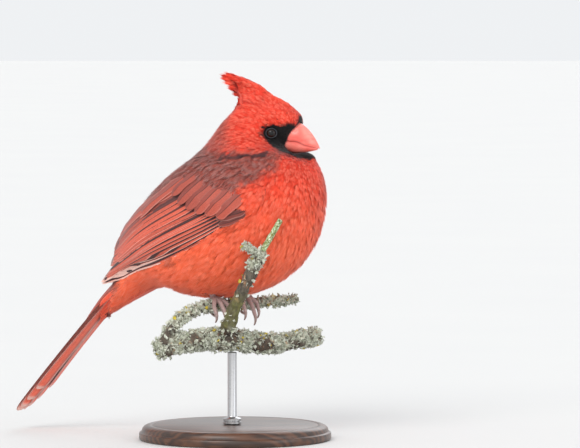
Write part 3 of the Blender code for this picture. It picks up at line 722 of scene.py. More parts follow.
def coat_tree():
    """Tufts spread over one region of a skin, turned along its lie and bent to its shape."""
    outputs = (("Geometry", "NodeSocketGeometry"),)
    tree, given, result = new_group("Coat", "GeometryNodeTree", COAT_INPUTS, outputs)
    tree.is_modifier = True
    skin, seed, spacing = given.outputs["Geometry"], given.outputs["Seed"], given.outputs["Spacing"]
    links = {2: read_attribute(tree, "region", "INT"), 3: given.outputs["Region"]}
    here = add_node(tree, "FunctionNodeCompare", links, data_type="INT", operation="EQUAL")
    roots = spread_roots(tree, skin, spacing, seed, here.outputs[0])
    axes = {"Primary Axis": read_attribute(tree, "out", "FLOAT_VECTOR"),
            "Secondary Axis": read_attribute(tree, "lie", "FLOAT_VECTOR")}
    turn = add_node(tree, "FunctionNodeAxesToRotation", axes, primary_axis="Z", secondary_axis="X")
    wild = random_value(tree, "FLOAT_VECTOR", (-0.8, -0.1, -1.0), (0.8, 0.1, 1.0), 11)
    wild = vector_node(tree, "SCALE", {0: wild, "Scale": given.outputs["Disorder"]}).outputs[0]
    tilt = add_node(tree, "FunctionNodeEulerToRotation", {0: wild})
    links = {0: turn.outputs[0], 1: tilt.outputs[0]}
    turn = add_node(tree, "FunctionNodeRotateRotation", links, rotation_space="LOCAL")
    size = random_value(tree, "FLOAT", 0.78, 1.18, 12)
    size = math_node(tree, "MULTIPLY", size, given.outputs["Length Scale"])
    length = math_node(tree, "MULTIPLY", read_attribute(tree, "length"), size)
    width = math_node(tree, "MULTIPLY", read_attribute(tree, "width"), size)
    scale = add_node(tree, "ShaderNodeCombineXYZ", {0: length, 1: width, 2: width})
    whole = place_shapes(tree, roots, given.outputs["Tufts"], turn.outputs[0], scale.outputs[0], (13, 14))
    place = add_node(tree, "GeometryNodeInputPosition").outputs[0]
    under = add_node(tree, "GeometryNodeSampleNearestSurface", {"Mesh": skin}, data_type="FLOAT_VECTOR")
    tree.links.new(place, under.inputs["Value"])
    out = add_node(
        tree, "GeometryNodeSampleNearestSurface",
        {"Mesh": skin, "Value": read_attribute(tree, "out", "FLOAT_VECTOR")}, data_type="FLOAT_VECTOR",
    )
    ruffle = spread_over(tree, read_attribute(tree, "tuft"), 0.0, 1.0, 0.55, 1.25)
    height = math_node(tree, "MULTIPLY", read_attribute(tree, "height"), read_attribute(tree, "depth"))
    height = math_node(tree, "MULTIPLY", height, ruffle)
    lift = vector_node(tree, "SCALE", {0: out.outputs[0], "Scale": height}).outputs[0]
    bent = vector_node(tree, "ADD", {0: under.outputs[0], 1: lift}).outputs[0]
    mixed = add_node(tree, "ShaderNodeMix", data_type="VECTOR", clamp_factor=True)
    for socket, value in ((0, read_attribute(tree, "free")), (4, bent), (5, place)):
        tree.links.new(value, mixed.inputs[socket])
    links = {"Geometry": whole.outputs[0], "Position": mixed.outputs[1]}
    moved = add_node(tree, "GeometryNodeSetPosition", links)
    patch = read_attribute(tree, "patch", "FLOAT_VECTOR")
    patch = vector_node(tree, "SUBTRACT", {0: patch, 1: (0.5, 0.5, 0.0)})
    patch = vector_node(tree, "SCALE", {0: patch.outputs[0], "Scale": PATCH_SIZE}).outputs[0]
    spot = read_attribute(tree, "OFBake", "FLOAT_VECTOR")
    spot = vector_node(tree, "ADD", {0: spot, 1: patch}).outputs[0]
    links = {"Geometry": moved.outputs[0], "Name": "OFBake", "Value": spot}
    mapped = add_node(tree, "GeometryNodeStoreNamedAttribute", links, data_type="FLOAT2", domain="CORNER")
    links = {"Geometry": mapped.outputs[0], "Material": given.outputs["Material"]}
    coloured = add_node(tree, "GeometryNodeSetMaterial", links)
    tree.links.new(coloured.outputs[0], result.inputs[0])
    return tree


def set_inputs(modifier, values):
    """Sets a geometry tree's inputs by their sockets' identifiers."""
    for item in modifier.node_group.interface.items_tree:
        if item.item_type == "SOCKET" and item.in_out == "INPUT" and item.name in values:
            modifier[item.identifier] = values[item.name]


HELPERS = ("length", "width", "depth", "free", "cover", "lie", "out", "height", "patch", "region")


def drop_helpers(mesh):
    """Removes the values that only the trees need."""
    for name in HELPERS:
        if name in mesh.attributes:
            mesh.attributes.remove(mesh.attributes[name])


def grown(skin, tree, name, **values):
    """The mesh that a tree grows on a skin, with its helper values removed."""
    obj = add_object(name, skin)
    step = obj.modifiers.new("Grow", "NODES")
    step.node_group = tree
    set_inputs(step, values)
    graph = bpy.context.evaluated_depsgraph_get()
    mesh = bpy.data.meshes.new_from_object(obj.evaluated_get(graph), depsgraph=graph)
    mesh.name = name
    bpy.data.objects.remove(obj)
    drop_helpers(mesh)
    return mesh


# Spacing in millimetres, scale of length, and disorder of each region's tufts
COAT_PIECES = {
    "face": (0.5, 1.0, 0.25),
    "head": (0.62, 1.0, 0.25),
    "nape": (0.8, 1.0, 0.3),
    "breast": (1.02, 1.0, 0.25),
    "belly": (1.1, 1.0, 0.3),
    "back": (1.0, 1.0, 0.3),
    "side_left": (1.15, 1.0, 0.3),
    "side_right": (1.15, 1.0, 0.3),
    "under": (1.0, 1.2, 0.2),
}


def make_coat(skin):
    tufts = tuft_collection("tuft", (1, 2, 3, 4), barbs=13)
    tree = coat_tree()
    material = bpy.data.materials["coat"]
    for number, (name, (spacing, length, disorder)) in enumerate(COAT_PIECES.items()):
        values = {
            "Tufts": tufts, "Material": material, "Region": REGIONS.index(name), "Spacing": spacing * MM,
            "Length Scale": length, "Disorder": disorder, "Seed": number + 1,
        }
        mesh = grown(skin, tree, "coat_" + name, **values)
        add_piece("coat_" + name, mesh, "red_plumage")
    for obj in list(tufts.objects):
        bpy.data.objects.remove(obj)
    bpy.data.collections.remove(tufts)


# Long feathers

# Places across a vane, from its outer rim at -1 to its inner rim at 1
VANE_COLUMNS = (-1.0, -0.6, -0.14, 0.0, 0.14, 0.5, 1.0)
VANE_UNDER = (0.5, 0.14, 0.0, -0.14, -0.6)
VANE_ROWS = 22
VANE_THICKNESS = 0.16
VANE_DROP = (0.05, 0.25)
SHAFT_RISE = 0.12
SHAFT_HALF = 0.35
CELL_COLUMNS = 16
TONES = ("redness", "pale", "dusk")


class Sheaf:
    """Long feathers gathered into one mesh, each with a cell of its own on the map."""

    def __init__(self, seed):
        self.points = []
        self.faces = []
        self.corners = []
        self.values = {name: [] for name in ("vane", "below", *TONES)}
        self.rng = np.random.default_rng(seed)
        self.count = 0

    def add_grid(self, rings, vane, tones):
        """Rings of points joined in turn and closed at both ends."""
        size, first = len(rings[0]), len(self.points)
        left = (self.count % CELL_COLUMNS) / CELL_COLUMNS
        low = (self.count // CELL_COLUMNS) / CELL_COLUMNS
        self.count += 1
        cell = 0.94 / CELL_COLUMNS
        self.points += [p for ring in rings for p in ring]
        self.values["vane"] += [v[:3] for row in vane for v in row]
        for name in TONES:
            self.values[name] += [tones[name]] * (size * len(rings))
        below = [float(value[3]) for row in vane for value in row]
        self.values["below"] += below
        last = len(rings) - 1
        for row in range(last):
            for column in range(size):
                a, b = first + row * size + column, first + row * size + (column + 1) % size
                self.faces.append((a, b, b + size, a + size))
                u = (left + cell * row / last, left + cell * (row + 1) / last)
                v = (low + cell * column / size, low + cell * (column + 1) / size)
                self.corners += [(u[0], v[0]), (u[0], v[1]), (u[1], v[1]), (u[1], v[0])]
        for row, order in ((0, range(size - 1, -1, -1)), (last, range(size))):
            self.faces.append(tuple(first + row * size + k for k in order))
            turns = [2 * math.pi * k / size for k in range(size)]
            u, v = left + cell * (0.02 + 0.96 * row / last), low + cell * 0.5
            self.corners += [(u + 0.001 * math.cos(t), v + 0.001 * math.sin(t)) for t in turns]

    def add_vane(self, place, outer, inner, tones, tip=0.16, point=0.5, flip=1):
        """One feather. The place function gives a point for a share of its length, an offset across in
        millimetres and a lift. The widths are those of the web on each side of the shaft."""
        wave = self.rng.uniform(0, 6.28)
        mark = self.rng.random()
        rings, vane = [], []
        for row in range(VANE_ROWS):
            share = math.sin(math.pi / 2 * row / (VANE_ROWS - 1))
            root = min(1.0, 0.3 + share / 0.25)
            end = min(1.0, max(0.0, (share - (1 - tip)) / tip))
            narrow = max(0.02, (1 - end**2.2) ** point)
            ragged = 1 + 0.03 * math.sin(9 * share + wave)
            ring, values = [], []
            thin = 1 - 0.6 * share
            for column in (*VANE_COLUMNS, *(c + 10 for c in VANE_UNDER)):
                under = column > 5
                across = column - 10 if under else column
                half = outer if across < 0 else inner
                if abs(abs(across) - 0.14) < 1e-6:
                    offset = math.copysign(min(SHAFT_HALF * thin, half * 0.3), across)
                else:
                    offset = across * half * ragged
                offset *= root * narrow
                drop = VANE_DROP[0] if across < 0 else VANE_DROP[1]
                lift = SHAFT_RISE * thin * (abs(across) < 0.01) - drop * across**2
                lift -= VANE_THICKNESS if under else 0.0
                ring.append(place(share, offset, lift))
                values.append((share, across, mark, under))
            rings.append(ring[::flip])
            vane.append(values[::flip])
        self.add_grid(rings, vane, tones)

    def mesh(self, name, material):
        mesh = new_mesh(name, self.points, self.faces, material)
        mesh.set_sharp_from_angle(angle=math.radians(50))
        store(mesh, "vane", self.values["vane"], "FLOAT_VECTOR")
        for name in ("below", *TONES):
            store(mesh, name, self.values[name])
        mesh.uv_layers.new(name="OFBake")
        mesh.uv_layers["OFBake"].data.foreach_set("uv", np.array(self.corners, np.float32).ravel())
        return mesh


# Wings

# Rows of places along which feathers start and end, the lowest feather of the folded wing first
WING_ROWS = {
    "primary": (
        ((10.1, 39.4, 117.6), (7.5, 40.1, 121.6), (3.3, 40.2, 125.8)),
        ((-76.2, 6.6, 81.6), (-75.6, 7.0, 82.8), (-74.2, 7.8, 85.0), (-71.6, 9.6, 87.4), (-69.5, 11.4, 88.9)),
    ),
    "secondary": (
        ((1.8, 40.1, 126.9), (-5.5, 39.1, 130.5), (-12.6, 36.5, 134.0)),
        ((-68.3, 11.4, 92.3), (-65.4, 14.2, 95.6), (-64.4, 14.6, 99.8)),
    ),
    "tertial": (
        ((-14.0, 36.0, 134.6), (-17.0, 33.1, 138.7), (-18.8, 29.9, 142.3)),
        ((-64.6, 13.6, 101.6), (-61.0, 13.6, 109.2), (-45.6, 26.0, 119.6)),
    ),
    "greater covert": (
        ((18.0, 37.6, 134.8), (11.5, 38.4, 137.2), (5.4, 38.0, 138.4), (-0.2, 36.4, 140.2),
         (-5.6, 34.4, 142.4), (-10.4, 30.8, 145.6)),
        ((4.7, 40.3, 121.4), (-1.5, 40.4, 122.6), (-7.4, 40.0, 123.6), (-13.0, 38.9, 125.6),
         (-18.3, 37.1, 128.1), (-22.7, 34.0, 132.2)),
    ),
    "primary covert": (
        ((21.0, 37.0, 122.3), (20.6, 37.4, 124.8)),
        ((5.1, 39.9, 117.3), (4.4, 40.3, 120.4)),
    ),
}
# Count, web widths, lifts at root and tip, rise from each feather to the next, bow, tones and tip share
WING_KINDS = {
    "primary": (8, (1.38, 2.2), (-1.8, -0.9), 0.17, -0.9, (1.0, 1.0, 0.0), 0.30),
    "secondary": (6, (2.3, 4.6), (-0.8, 0.3), 0.11, -1.2, (0.9, 0.3, 0.0), 0.22),
    "tertial": (3, (4.4, 4.8), (-0.4, 0.9), 0.14, -1.0, (0.6, 0.22, 0.0), 0.28),
    "greater covert": (6, (4.5, 3.0), (-1.6, 1.2), 0.08, 0.0, (0.6, 0.1, 0.0), 0.35),
    "primary covert": (2, (2.2, 2.2), (-1.4, 0.2), 0.15, 0.0, (0.35, 0.3, 0.2), 0.45),
}
PALE_FEATHERS = 3
CHORD_BULGE = 7.0
FREE_SHARE = 0.8


def smooth_surface(mesh):
    """A search tree of a mesh, with a function that gives the nearest place and its soft direction out."""
    points, normals = read_points(mesh), read_normals(mesh)
    faces = [tuple(p.vertices) for p in mesh.polygons]
    tree = BVHTree.FromPolygons([Vector(p) for p in points], faces)

    def nearest(spot):
        place, flat, number = tree.find_nearest(spot)[:3]
        corners = faces[number]
        weights = np.array([1 / ((points[k] - place) @ (points[k] - place) + 1e-10) for k in corners])
        out = (weights[:, None] * normals[list(corners)]).sum(axis=0)
        return place, Vector(out).normalized()

    return nearest


def laid_on(nearest, root, tip, bow, lifts, side):
    """A place function for a feather that lies on the body from root to tip, on one side of the bird."""
    root, tip = (Vector(to_world((x, y * side, z))) for x, y, z in (root, tip))
    along = (tip - root).normalized()
    out = (nearest(root)[1] + nearest(tip)[1]).normalized()
    across = out.cross(along).normalized()
    if across.z < 0:
        across = -across
    bulge = out * CHORD_BULGE * MM * math.sin(math.pi * FREE_SHARE)
    last, last_out = nearest(root.lerp(tip, FREE_SHARE) + bulge)

    def place(share, offset, lift):
        arch = math.sin(math.pi * share)
        slide = across * (offset + bow * arch) * MM
        height = (lifts[0] + (lifts[1] - lifts[0]) * min(1.0, share / 0.6) + lift) * MM
        spot = root.lerp(tip, share) + out * CHORD_BULGE * MM * arch + slide
        ground, normal = nearest(spot)
        gone = spot - ground
        laid = ground + gone - normal * gone.dot(normal) + normal * height
        beyond = max(0.0, (share - FREE_SHARE) / (1 - FREE_SHARE))
        free = last.lerp(tip, beyond) + slide + last_out * height
        loose = beyond * beyond * (3 - 2 * beyond)
        return laid.lerp(free, min(1.0, 2 * loose))

    return place


def wing_mesh(nearest, side, name, material):
    """The flight feathers and larger coverts of one folded wing, the lowest feathers first."""
    sheaf = Sheaf(7)
    for kind, (roots, tips) in WING_ROWS.items():
        count, widths, lifts, rise, bow, tones, tip_share = WING_KINDS[kind]
        for k in range(count):
            share = k / (count - 1)
            heights = (lifts[0] + rise * k, lifts[1] + rise * k)
            place = laid_on(nearest, spline(roots, share), spline(tips, share), bow, heights, side)
            tone = dict(zip(TONES, tones))
            tone["pale"] *= 1.0 if k < PALE_FEATHERS else 0.35
            sheaf.add_vane(place, *widths, tone, tip_share, flip=-side)
    return sheaf.mesh(name, material)


def make_wings():
    hull = body_mesh("hull", WING_WHOLE_END)
    nearest = smooth_surface(hull)
    material = flight_material()
    for name, side in (("wing_left", 1), ("wing_right", -1)):
        mesh = wing_mesh(nearest, side, name + "_feathers", material)
        add_piece(name + "_feathers", mesh, "wing_plumage", name)
    bpy.data.meshes.remove(hull)


# Tail

TAIL_ROOT = (-73.6, 72.6)
TAIL_DIP = math.radians(47.6)
TAIL_ROLL = math.radians(4)
TAIL_SAG = 3.0
TAIL_LENGTH = 83.0
TAIL_PAIRS = 6
TAIL_HIDDEN = 14.0
TAIL_SHAFT_REACH = 8.3
TAIL_STACK = 3.6
TAIL_STEPS_BACK = (0.0, 0.4, 1.6, 4.6, 10.8, 19.5)


def tail_axes():
    along = Vector((-math.cos(TAIL_DIP), 0, -math.sin(TAIL_DIP)))
    side = Matrix.Rotation(TAIL_ROLL, 3, along) @ Vector((0, 1, 0))
    return along, side, side.cross(along)


def tail_feather(pair, side):
    """A place function for one tail feather. Pair 0 is the middle one, on top of the folded tail."""
    along, across, up = tail_axes()
    order = pair / (TAIL_PAIRS - 1)
    length = TAIL_LENGTH - TAIL_STEPS_BACK[pair]
    root = Vector((TAIL_ROOT[0], 0, TAIL_ROOT[1]))
    shaft = side * (0.8 + (TAIL_SHAFT_REACH - 0.8) * order)
    stack = TAIL_STACK * (0.5 - order) + (0.12 if side > 0 else 0.0)

    def place(share, offset, lift):
        reach = (length + TAIL_HIDDEN) * share - TAIL_HIDDEN
        far = max(0.0, reach / TAIL_LENGTH)
        spread = shaft * (0.72 + 0.28 * min(1.0, far / 0.7))
        fall = TAIL_SAG * far**2 + 0.010 * (spread + side * offset) ** 2 * math.sqrt(far)
        spot = root + along * reach + across * (spread - side * offset) + up * (stack + lift - fall)
        return Vector(to_world(spot))

    return place


# Path of the coverts' middle round the tail's root, then their distance from it below and above
COVERT_PATH = (
    (-50.0, 0.0, 88.5), (-62.0, 0.0, 81.0), (-73.6, 0.0, 72.6), (-80.8, 0.0, 64.8), (-88.0, 0.0, 56.6),
)
COVERT_REACH = {"below": (10.4, 9.3, 7.0, 4.6, 3.2), "above": (8.0, 7.2, 4.9, 4.0, 2.6)}


def cuff(radii, turn, end):
    """A place function for a covert round the tail's root, at a turn from straight down."""
    along, across, up = tail_axes()

    def place(share, offset, lift):
        centre = Vector(spline(COVERT_PATH, share * end))
        radius = float(spline([(r, 0) for r in radii], share * end)[0]) + lift
        bend = turn + offset / max(radius, 3.5)
        return Vector(to_world(centre + (across * math.sin(bend) - up * math.cos(bend)) * radius))

    return place


def make_tail():
    sheaf = Sheaf(5)
    for pair in range(TAIL_PAIRS - 1, -1, -1):
        for side in (1, -1):
            order = pair / (TAIL_PAIRS - 1)
            tone = {"redness": 0.35, "pale": 0.95, "dusk": 0.1}
            outer = 4.4 - 1.8 * order
            sheaf.add_vane(tail_feather(pair, side), outer, 5.6 + 1.2 * order, tone, 0.07, 0.5, -side)
    mesh = sheaf.mesh("tail_feathers", tail_material())
    add_piece("tail_feathers", mesh, "tail_plumage", "tail")
    coverts = Sheaf(6)
    for turn in (106, -106, 128, -128, 150, -150, 170, -170, 180):
        # The upper coverts' dusk darkens them under the wing tip: partly their own dusky colour, partly painted
        # shadow of the wing
        tone = {"redness": 0.6, "pale": 0.15, "dusk": 0.7}
        end = 0.95 - 0.2 * (180 - abs(turn)) / 75
        coverts.add_vane(cuff(COVERT_REACH["above"], math.radians(turn), end), 3.0, 3.0, tone, 0.35, 0.5, 1)
    for turn in (80, -80, 60, -60, 40, -40, 20, -20, 0):
        tone = {"redness": 1.0, "pale": 0.35, "dusk": 0.0}
        end = 0.83 - 0.2 * abs(turn) / 80
        coverts.add_vane(cuff(COVERT_REACH["below"], math.radians(turn), end), 2.9, 2.9, tone, 0.4, 0.5, 1)
    mesh = coverts.mesh("tail_coverts", covert_material())
    add_piece("tail_coverts", mesh, "red_plumage")


# Eyes and lids

GAZE = (0.34, 0.93, 0.07)
CORNEA_BULGE = 0.42
CORNEA_REACH = 0.62
LID_ANGLE = 0.79
LID_STRETCH = 0.14
LID_TUBE = (0.32, 0.26)


def lathe_rings(profile, count, place):
    """Points and faces of a closed round shape. The profile's first and last radius are 0."""
    points, faces = [place(*profile[0], 0.0)], []
    for row in profile[1:-1]:
        points += [place(*row, 2 * math.pi * k / count) for k in range(count)]
    points.append(place(*profile[-1], 0.0))
    last = len(points) - 1
    rows = len(profile) - 2
    for k in range(count):
        n = (k + 1) % count
        faces.append((0, 1 + k, 1 + n))
        for row in range(rows - 1):
            a = 1 + row * count
            faces.append((a + k, a + count + k, a + count + n, a + n))
        faces.append((last, last - count + n, last - count + k))
    return points, faces


def eye_axes(side):
    gaze = unit(np.array((GAZE[0], GAZE[1] * side, GAZE[2])))
    across = unit(np.cross((0, 0, 1), gaze))
    return gaze, across, np.cross(gaze, across)


def eye_mesh(side, material):
    gaze, across, up = eye_axes(side)
    centre = np.array((EYE_PLACE[0], EYE_PLACE[1] * side, EYE_PLACE[2]))

    def place(angle, radius, turn):
        round_place = across * math.cos(turn) + up * math.sin(turn)
        return centre + radius * (gaze * math.cos(angle) + round_place * math.sin(angle))

    angles = np.linspace(0, math.pi, 40)
    profile = [(a, EYE_RADIUS - 0.25 + CORNEA_BULGE * math.exp(-((a / CORNEA_REACH) ** 4))) for a in angles]
    points, faces = lathe_rings(profile, 48, place)
    mesh = new_mesh("eye", to_world(points), faces, material)
    rows = [profile[0][0]] + [a for a, _ in profile[1:-1] for _ in range(48)] + [profile[-1][0]]
    store(mesh, "gaze", rows)
    return mesh


def lid_mesh(side, material):
    """The bare rim round the eye, drawn to a corner in front and behind."""
    gaze, across, up = eye_axes(side)
    centre = np.array((EYE_PLACE[0], EYE_PLACE[1] * side, EYE_PLACE[2]))
    count, around = 72, 14
    points, faces, fold = [], [], []
    for k in range(count):
        turn = 2 * math.pi * k / count
        flat = abs(math.cos(turn))
        angle = LID_ANGLE + LID_STRETCH * (flat**3 - 0.5)
        out = across * math.cos(turn) + up * math.sin(turn)
        spoke = gaze * math.cos(angle) + out * math.sin(angle)
        outward = out * math.cos(angle) - gaze * math.sin(angle)
        middle = centre + spoke * (EYE_RADIUS + 0.06)
        wide = LID_TUBE[0] * (1 + 0.35 * flat**6) * (1.15 if math.sin(turn) > 0 else 1.0)
        for j in range(around):
            t = 2 * math.pi * j / around
            crease = 1 + 0.12 * math.cos(3 * t) + 0.05 * math.sin(18 * turn)
            rise = spoke * LID_TUBE[1] * crease * math.sin(t)
            points.append(middle + outward * (wide * math.cos(t) + 0.12) + rise)
            fold.append(0.5 + 0.5 * math.cos(t))
            n = (j + 1) % around
            a, b = k * around, (k + 1) % count * around
            faces.append((a + j, a + n, b + n, b + j) if side > 0 else (a + j, b + j, b + n, a + n))
    mesh = new_mesh("lid", to_world(points), faces, material)
    store(mesh, "fold", fold)
    return mesh


def make_eyes():
    material, tree, shader, place = new_material("eye", 0.03, ior=1.38)
    gaze = shader_value(tree, "gaze")
    fleck = noise_value(tree, place, 2500.0, 3.0, 0.6)
    iris = mix_colour(tree, fleck, linear((0.09, 0.045, 0.035)), linear((0.17, 0.085, 0.06)))
    colour = mix_colour(tree, spread_over(tree, gaze, 0.36, 0.40), (0.003, 0.003, 0.003), iris)
    colour = mix_colour(tree, spread_over(tree, gaze, 0.62, 0.68), colour, (0.006, 0.005, 0.005))
    tree.links.new(colour, shader.inputs["Base Color"])
    rim, tree, shader, place = new_material("lid", 0.42)
    wrinkle = noise_value(tree, place, 1800.0, 3.0, 0.6)
    fold = math_node(tree, "MULTIPLY", shader_value(tree, "fold"), 0.3)
    tone = math_node(tree, "MULTIPLY_ADD", wrinkle, 0.7, fold)
    colour = mix_colour(tree, tone, linear((0.05, 0.055, 0.07)), linear((0.16, 0.18, 0.22)))
    tree.links.new(colour, shader.inputs["Base Color"])
    add_bump(tree, shader, wrinkle, 0.0001, 0.6)
    for name, side in (("left", 1), ("right", -1)):
        add_piece("eye_ball_" + name, eye_mesh(side, material), "eye", "eye_" + name)
        add_piece("eye_lid_" + name, lid_mesh(side, rim), "red_plumage")


# Bill

BILL_ROOT_TOP = (37.9, 170.6)
BILL_ROOT_LOW = (31.3, 155.4)
BILL_TIP = (48.8, 157.6)
BILL_HALF_WIDTH = 6.8
BILL_SUNK_SHARE = 0.3
BILL_RIDGE_CURVE = 1.75
BILL_CHIN_CURVE = 1.5
BILL_SIDE_CURVE = (1.7, 0.85)
BILL_ROUNDNESS = 0.8
BILL_OVERHANG = 0.6
LOWER_BILL_WIDTH = 0.93
LOWER_BILL_REACH = 0.93
MOUTH_HEIGHT = 0.4
MOUTH_BEND = 1.1
MOUTH_BEND_REACH = 1.9
MOUTH_GAP = 0.16
BILL_LEAST = 0.12
BILL_ROWS = 56
BILL_SIDES = 30
NOSTRIL = ((36.6, 167.4), 0.75, 0.45)


def bill_section(reach):
    """One section's foot, up direction, heights of ridge, mouth and chin, and half width, as in the CAD."""
    top, low, tip = (Vector(p) for p in (BILL_ROOT_TOP, BILL_ROOT_LOW, BILL_TIP))
    up = (top - low).normalized()
    forward = Vector((up.y, -up.x))
    depth = (top - low).length
    tip_height = (tip - low).dot(up)
    foot = low + forward * (tip - low).dot(forward) * reach
    share = max(reach, 0.0)
    ridge = tip_height + (depth - tip_height) * (1 - share**BILL_RIDGE_CURVE)
    chin = (tip_height - BILL_OVERHANG) * share**BILL_CHIN_CURVE
    mouth = depth * MOUTH_HEIGHT + (tip_height - BILL_OVERHANG / 2 - depth * MOUTH_HEIGHT) * share
    mouth += MOUTH_BEND * math.sin(math.pi * min(share * MOUTH_BEND_REACH, 1.0)) * (1 - share)
    inward, fullness = BILL_SIDE_CURVE
    width = BILL_HALF_WIDTH * (1 - share**inward) ** fullness
    return foot, up, ridge, mouth, chin, width


def bill_mesh(name, upper, material):
    points, lip, reaches = [], [], []
    last = 1.0 if upper else LOWER_BILL_REACH
    sign = 1 if upper else -1
    for row in range(BILL_ROWS):
        step = math.sin(math.pi / 2 * row / (BILL_ROWS - 1))
        reach = -BILL_SUNK_SHARE + (last + BILL_SUNK_SHARE) * step
        foot, up, ridge, mouth, chin, width = bill_section(reach)
        edge = mouth + sign * MOUTH_GAP / 2
        rise = max(ridge - edge, BILL_LEAST) if upper else -max(edge - chin, BILL_LEAST)
        width = max(width, BILL_LEAST) * (1.0 if upper else LOWER_BILL_WIDTH)
        for k in range(BILL_SIDES + 1):
            turn = math.pi * k / BILL_SIDES
            high = math.sin(turn) ** BILL_ROUNDNESS
            keel = 1 + 0.03 * math.exp(-(((k / BILL_SIDES - 0.5) / 0.05) ** 2)) * (1 if upper else 0)
            spot = foot + up * (edge + rise * high * keel)
            groove = 1 - 0.035 * math.exp(-(((high - 0.16) / 0.07) ** 2))
            place = Vector((spot.x, width * math.cos(turn) * groove, spot.y))
            (hole_x, hole_z), long, deep = NOSTRIL
            away = math.hypot((spot.x - hole_x) / 1.5, spot.y - hole_z)
            if upper:
                place.y *= 1 - 0.16 * deep * math.exp(-((away / long) ** 2))
            points.append(place)
            lip.append(high)
            reaches.append(reach)
        floor = foot + up * (edge + 0.12 * rise)
        points.append(Vector((floor.x, 0, floor.y)))
        lip.append(0.0)
        reaches.append(reach)
    size = BILL_SIDES + 2
    faces = []
    for row in range(BILL_ROWS - 1):
        for k in range(size):
            a, b = row * size + k, row * size + (k + 1) % size
            faces.append((a, b, b + size, a + size))
    faces.append(tuple(range(size - 1, -1, -1)))
    faces.append(tuple(range((BILL_ROWS - 1) * size, BILL_ROWS * size)))
    mesh = new_mesh(name, to_world(points), faces, material)
    made = bmesh.new()
    made.from_mesh(mesh)
    bmesh.ops.recalc_face_normals(made, faces=made.faces)
    made.to_mesh(mesh)
    made.free()
    mesh.shade_smooth()
    mesh.set_sharp_from_angle(angle=math.radians(45))
    store(mesh, "lip", lip)
    store(mesh, "reach", reaches)
    return mesh


def bill_material(colours):
    material, tree, shader, place = new_material("bill horn", 0.33, coat_weight=0.15, coat_roughness=0.25)
    lip, reach = shader_value(tree, "lip"), shader_value(tree, "reach")
    streak = noise_value(tree, place, 260.0, 4.0, 0.6, (1.0, 1.0, 3.0))
    cloud = noise_value(tree, place, 90.0, 2.0)
    horn, pale, deep = (linear(c) for c in (colours.bill, colours.bill_pale, colours.bill_deep))
    colour = mix_colour(tree, spread_over(tree, cloud, 0.3, 0.7), horn, pale)
    colour = mix_colour(tree, spread_over(tree, streak, 0.5, 0.75, 0.0, 0.35), colour, deep)
    # Darker along the mouth line, most towards the gape: painted shade in the gap between the two halves
    behind = spread_over(tree, reach, 0.9, 0.2, 0.2, 0.6)
    mouth_shade = math_node(tree, "MULTIPLY", spread_over(tree, lip, 0.16, 0.02), behind)
    colour = mix_colour(tree, mouth_shade, colour, deep)
    colour = mix_colour(tree, spread_over(tree, reach, 0.80, 1.0, 0.0, 0.35), colour, pale)
    tree.links.new(colour, shader.inputs["Base Color"])
    add_bump(tree, shader, noise_value(tree, place, 900.0, 3.0, 0.6, (1.0, 1.0, 2.0)), 0.00008, 0.6)
    return material


def make_bill(colours):
    material = bill_material(colours)
    for name, upper in (("bill_upper", True), ("bill_lower", False)):
        add_piece(name + "_horn", bill_mesh(name, upper, material), "bill_horn", name)


# Feet

TOE_VOXEL = 0.22
SCUTE_PITCH = 1.05
SCUTE_HEIGHT = 0.09
TOE_SWELL = 0.3
CLAW_SWELL = 0.16
KNUCKLES = {"left": (3.7, 17.6, 76.9), "right": (-12.3, 4.6, 76.4)}
CLAWS = ("outer", "middle", "inner", "hind")


def make_feet(colours):
    """Scaled toes from the legs, and smooth claws."""
    skin, tree, shader, place = new_material("foot skin", 0.55)
    cell = add_node(tree, "ShaderNodeTexVoronoi", {"Vector": place, "Scale": 1500.0})
    tone = noise_value(tree, place, 500.0, 3.0)
    colour = mix_colour(tree, tone, linear(colours.foot_dark), linear(colours.foot))
    ring = shader_value(tree, "scute")
    colour = mix_colour(tree, spread_over(tree, ring, 0.35, 0.0, 0.0, 0.6), colour, linear(colours.foot_dark))
    tree.links.new(colour, shader.inputs["Base Color"])
    add_bump(tree, shader, cell.outputs["Distance"], 0.0001, 0.5)
    horn, tree, shader, place = new_material("claw horn", 0.35, coat_weight=0.2)
    streak = noise_value(tree, place, 700.0, 3.0, 0.6)
    colour = mix_colour(tree, streak, linear(colours.claw), linear(colours.foot))
    tree.links.new(colour, shader.inputs["Base Color"])
    add_bump(tree, shader, streak, 0.00005, 0.5)
    for foot in ("left", "right"):
        mesh = remeshed(merged_copy(("leg_" + foot,)), "toes", TOE_VOXEL * MM, 4)
        points, normals = read_points(mesh), read_normals(mesh)
        reach = np.linalg.norm(points / MM - np.array(KNUCKLES[foot]), axis=1)
        ring = np.abs(np.sin(math.pi * reach / SCUTE_PITCH)) ** 0.5
        write_points(mesh, points + normals * ((TOE_SWELL + SCUTE_HEIGHT * (ring - 0.6)) * MM)[:, None])
        store(mesh, "scute", ring)
        paint(mesh, skin)
        add_piece("toes_" + foot, mesh, "foot_skin", "leg_" + foot)
        names = [f"claw_{foot}_{toe}" for toe in CLAWS]
        mesh = bpy.data.meshes.new("claws")
        made = merged_copy(names)
        bmesh.ops.subdivide_edges(made, edges=made.edges[:], cuts=1, use_grid_fill=True, smooth=0.6)
        made.normal_update()
        for vert in made.verts:
            vert.co += vert.normal * CLAW_SWELL * MM
        made.to_mesh(mesh)
        made.free()
        mesh.shade_smooth()
        paint(mesh, horn)
        add_piece("claws_" + foot, mesh, "claw_horn", *names)


# Perch and lichen

PERCH_VOXEL = 0.55
BARK_RIDGE = 0.45
GREEN_TIP = ((16.5, -25.5, 106.0), (26.0, -27.5, 122.5))
STEM_LINE = ((-5.0, -1.5, 57.0), (0.0, -12.5, 72.0), (14.2, -25.0, 102.6))
STEM_KNOB = (10.5, -25.5, 100.5)


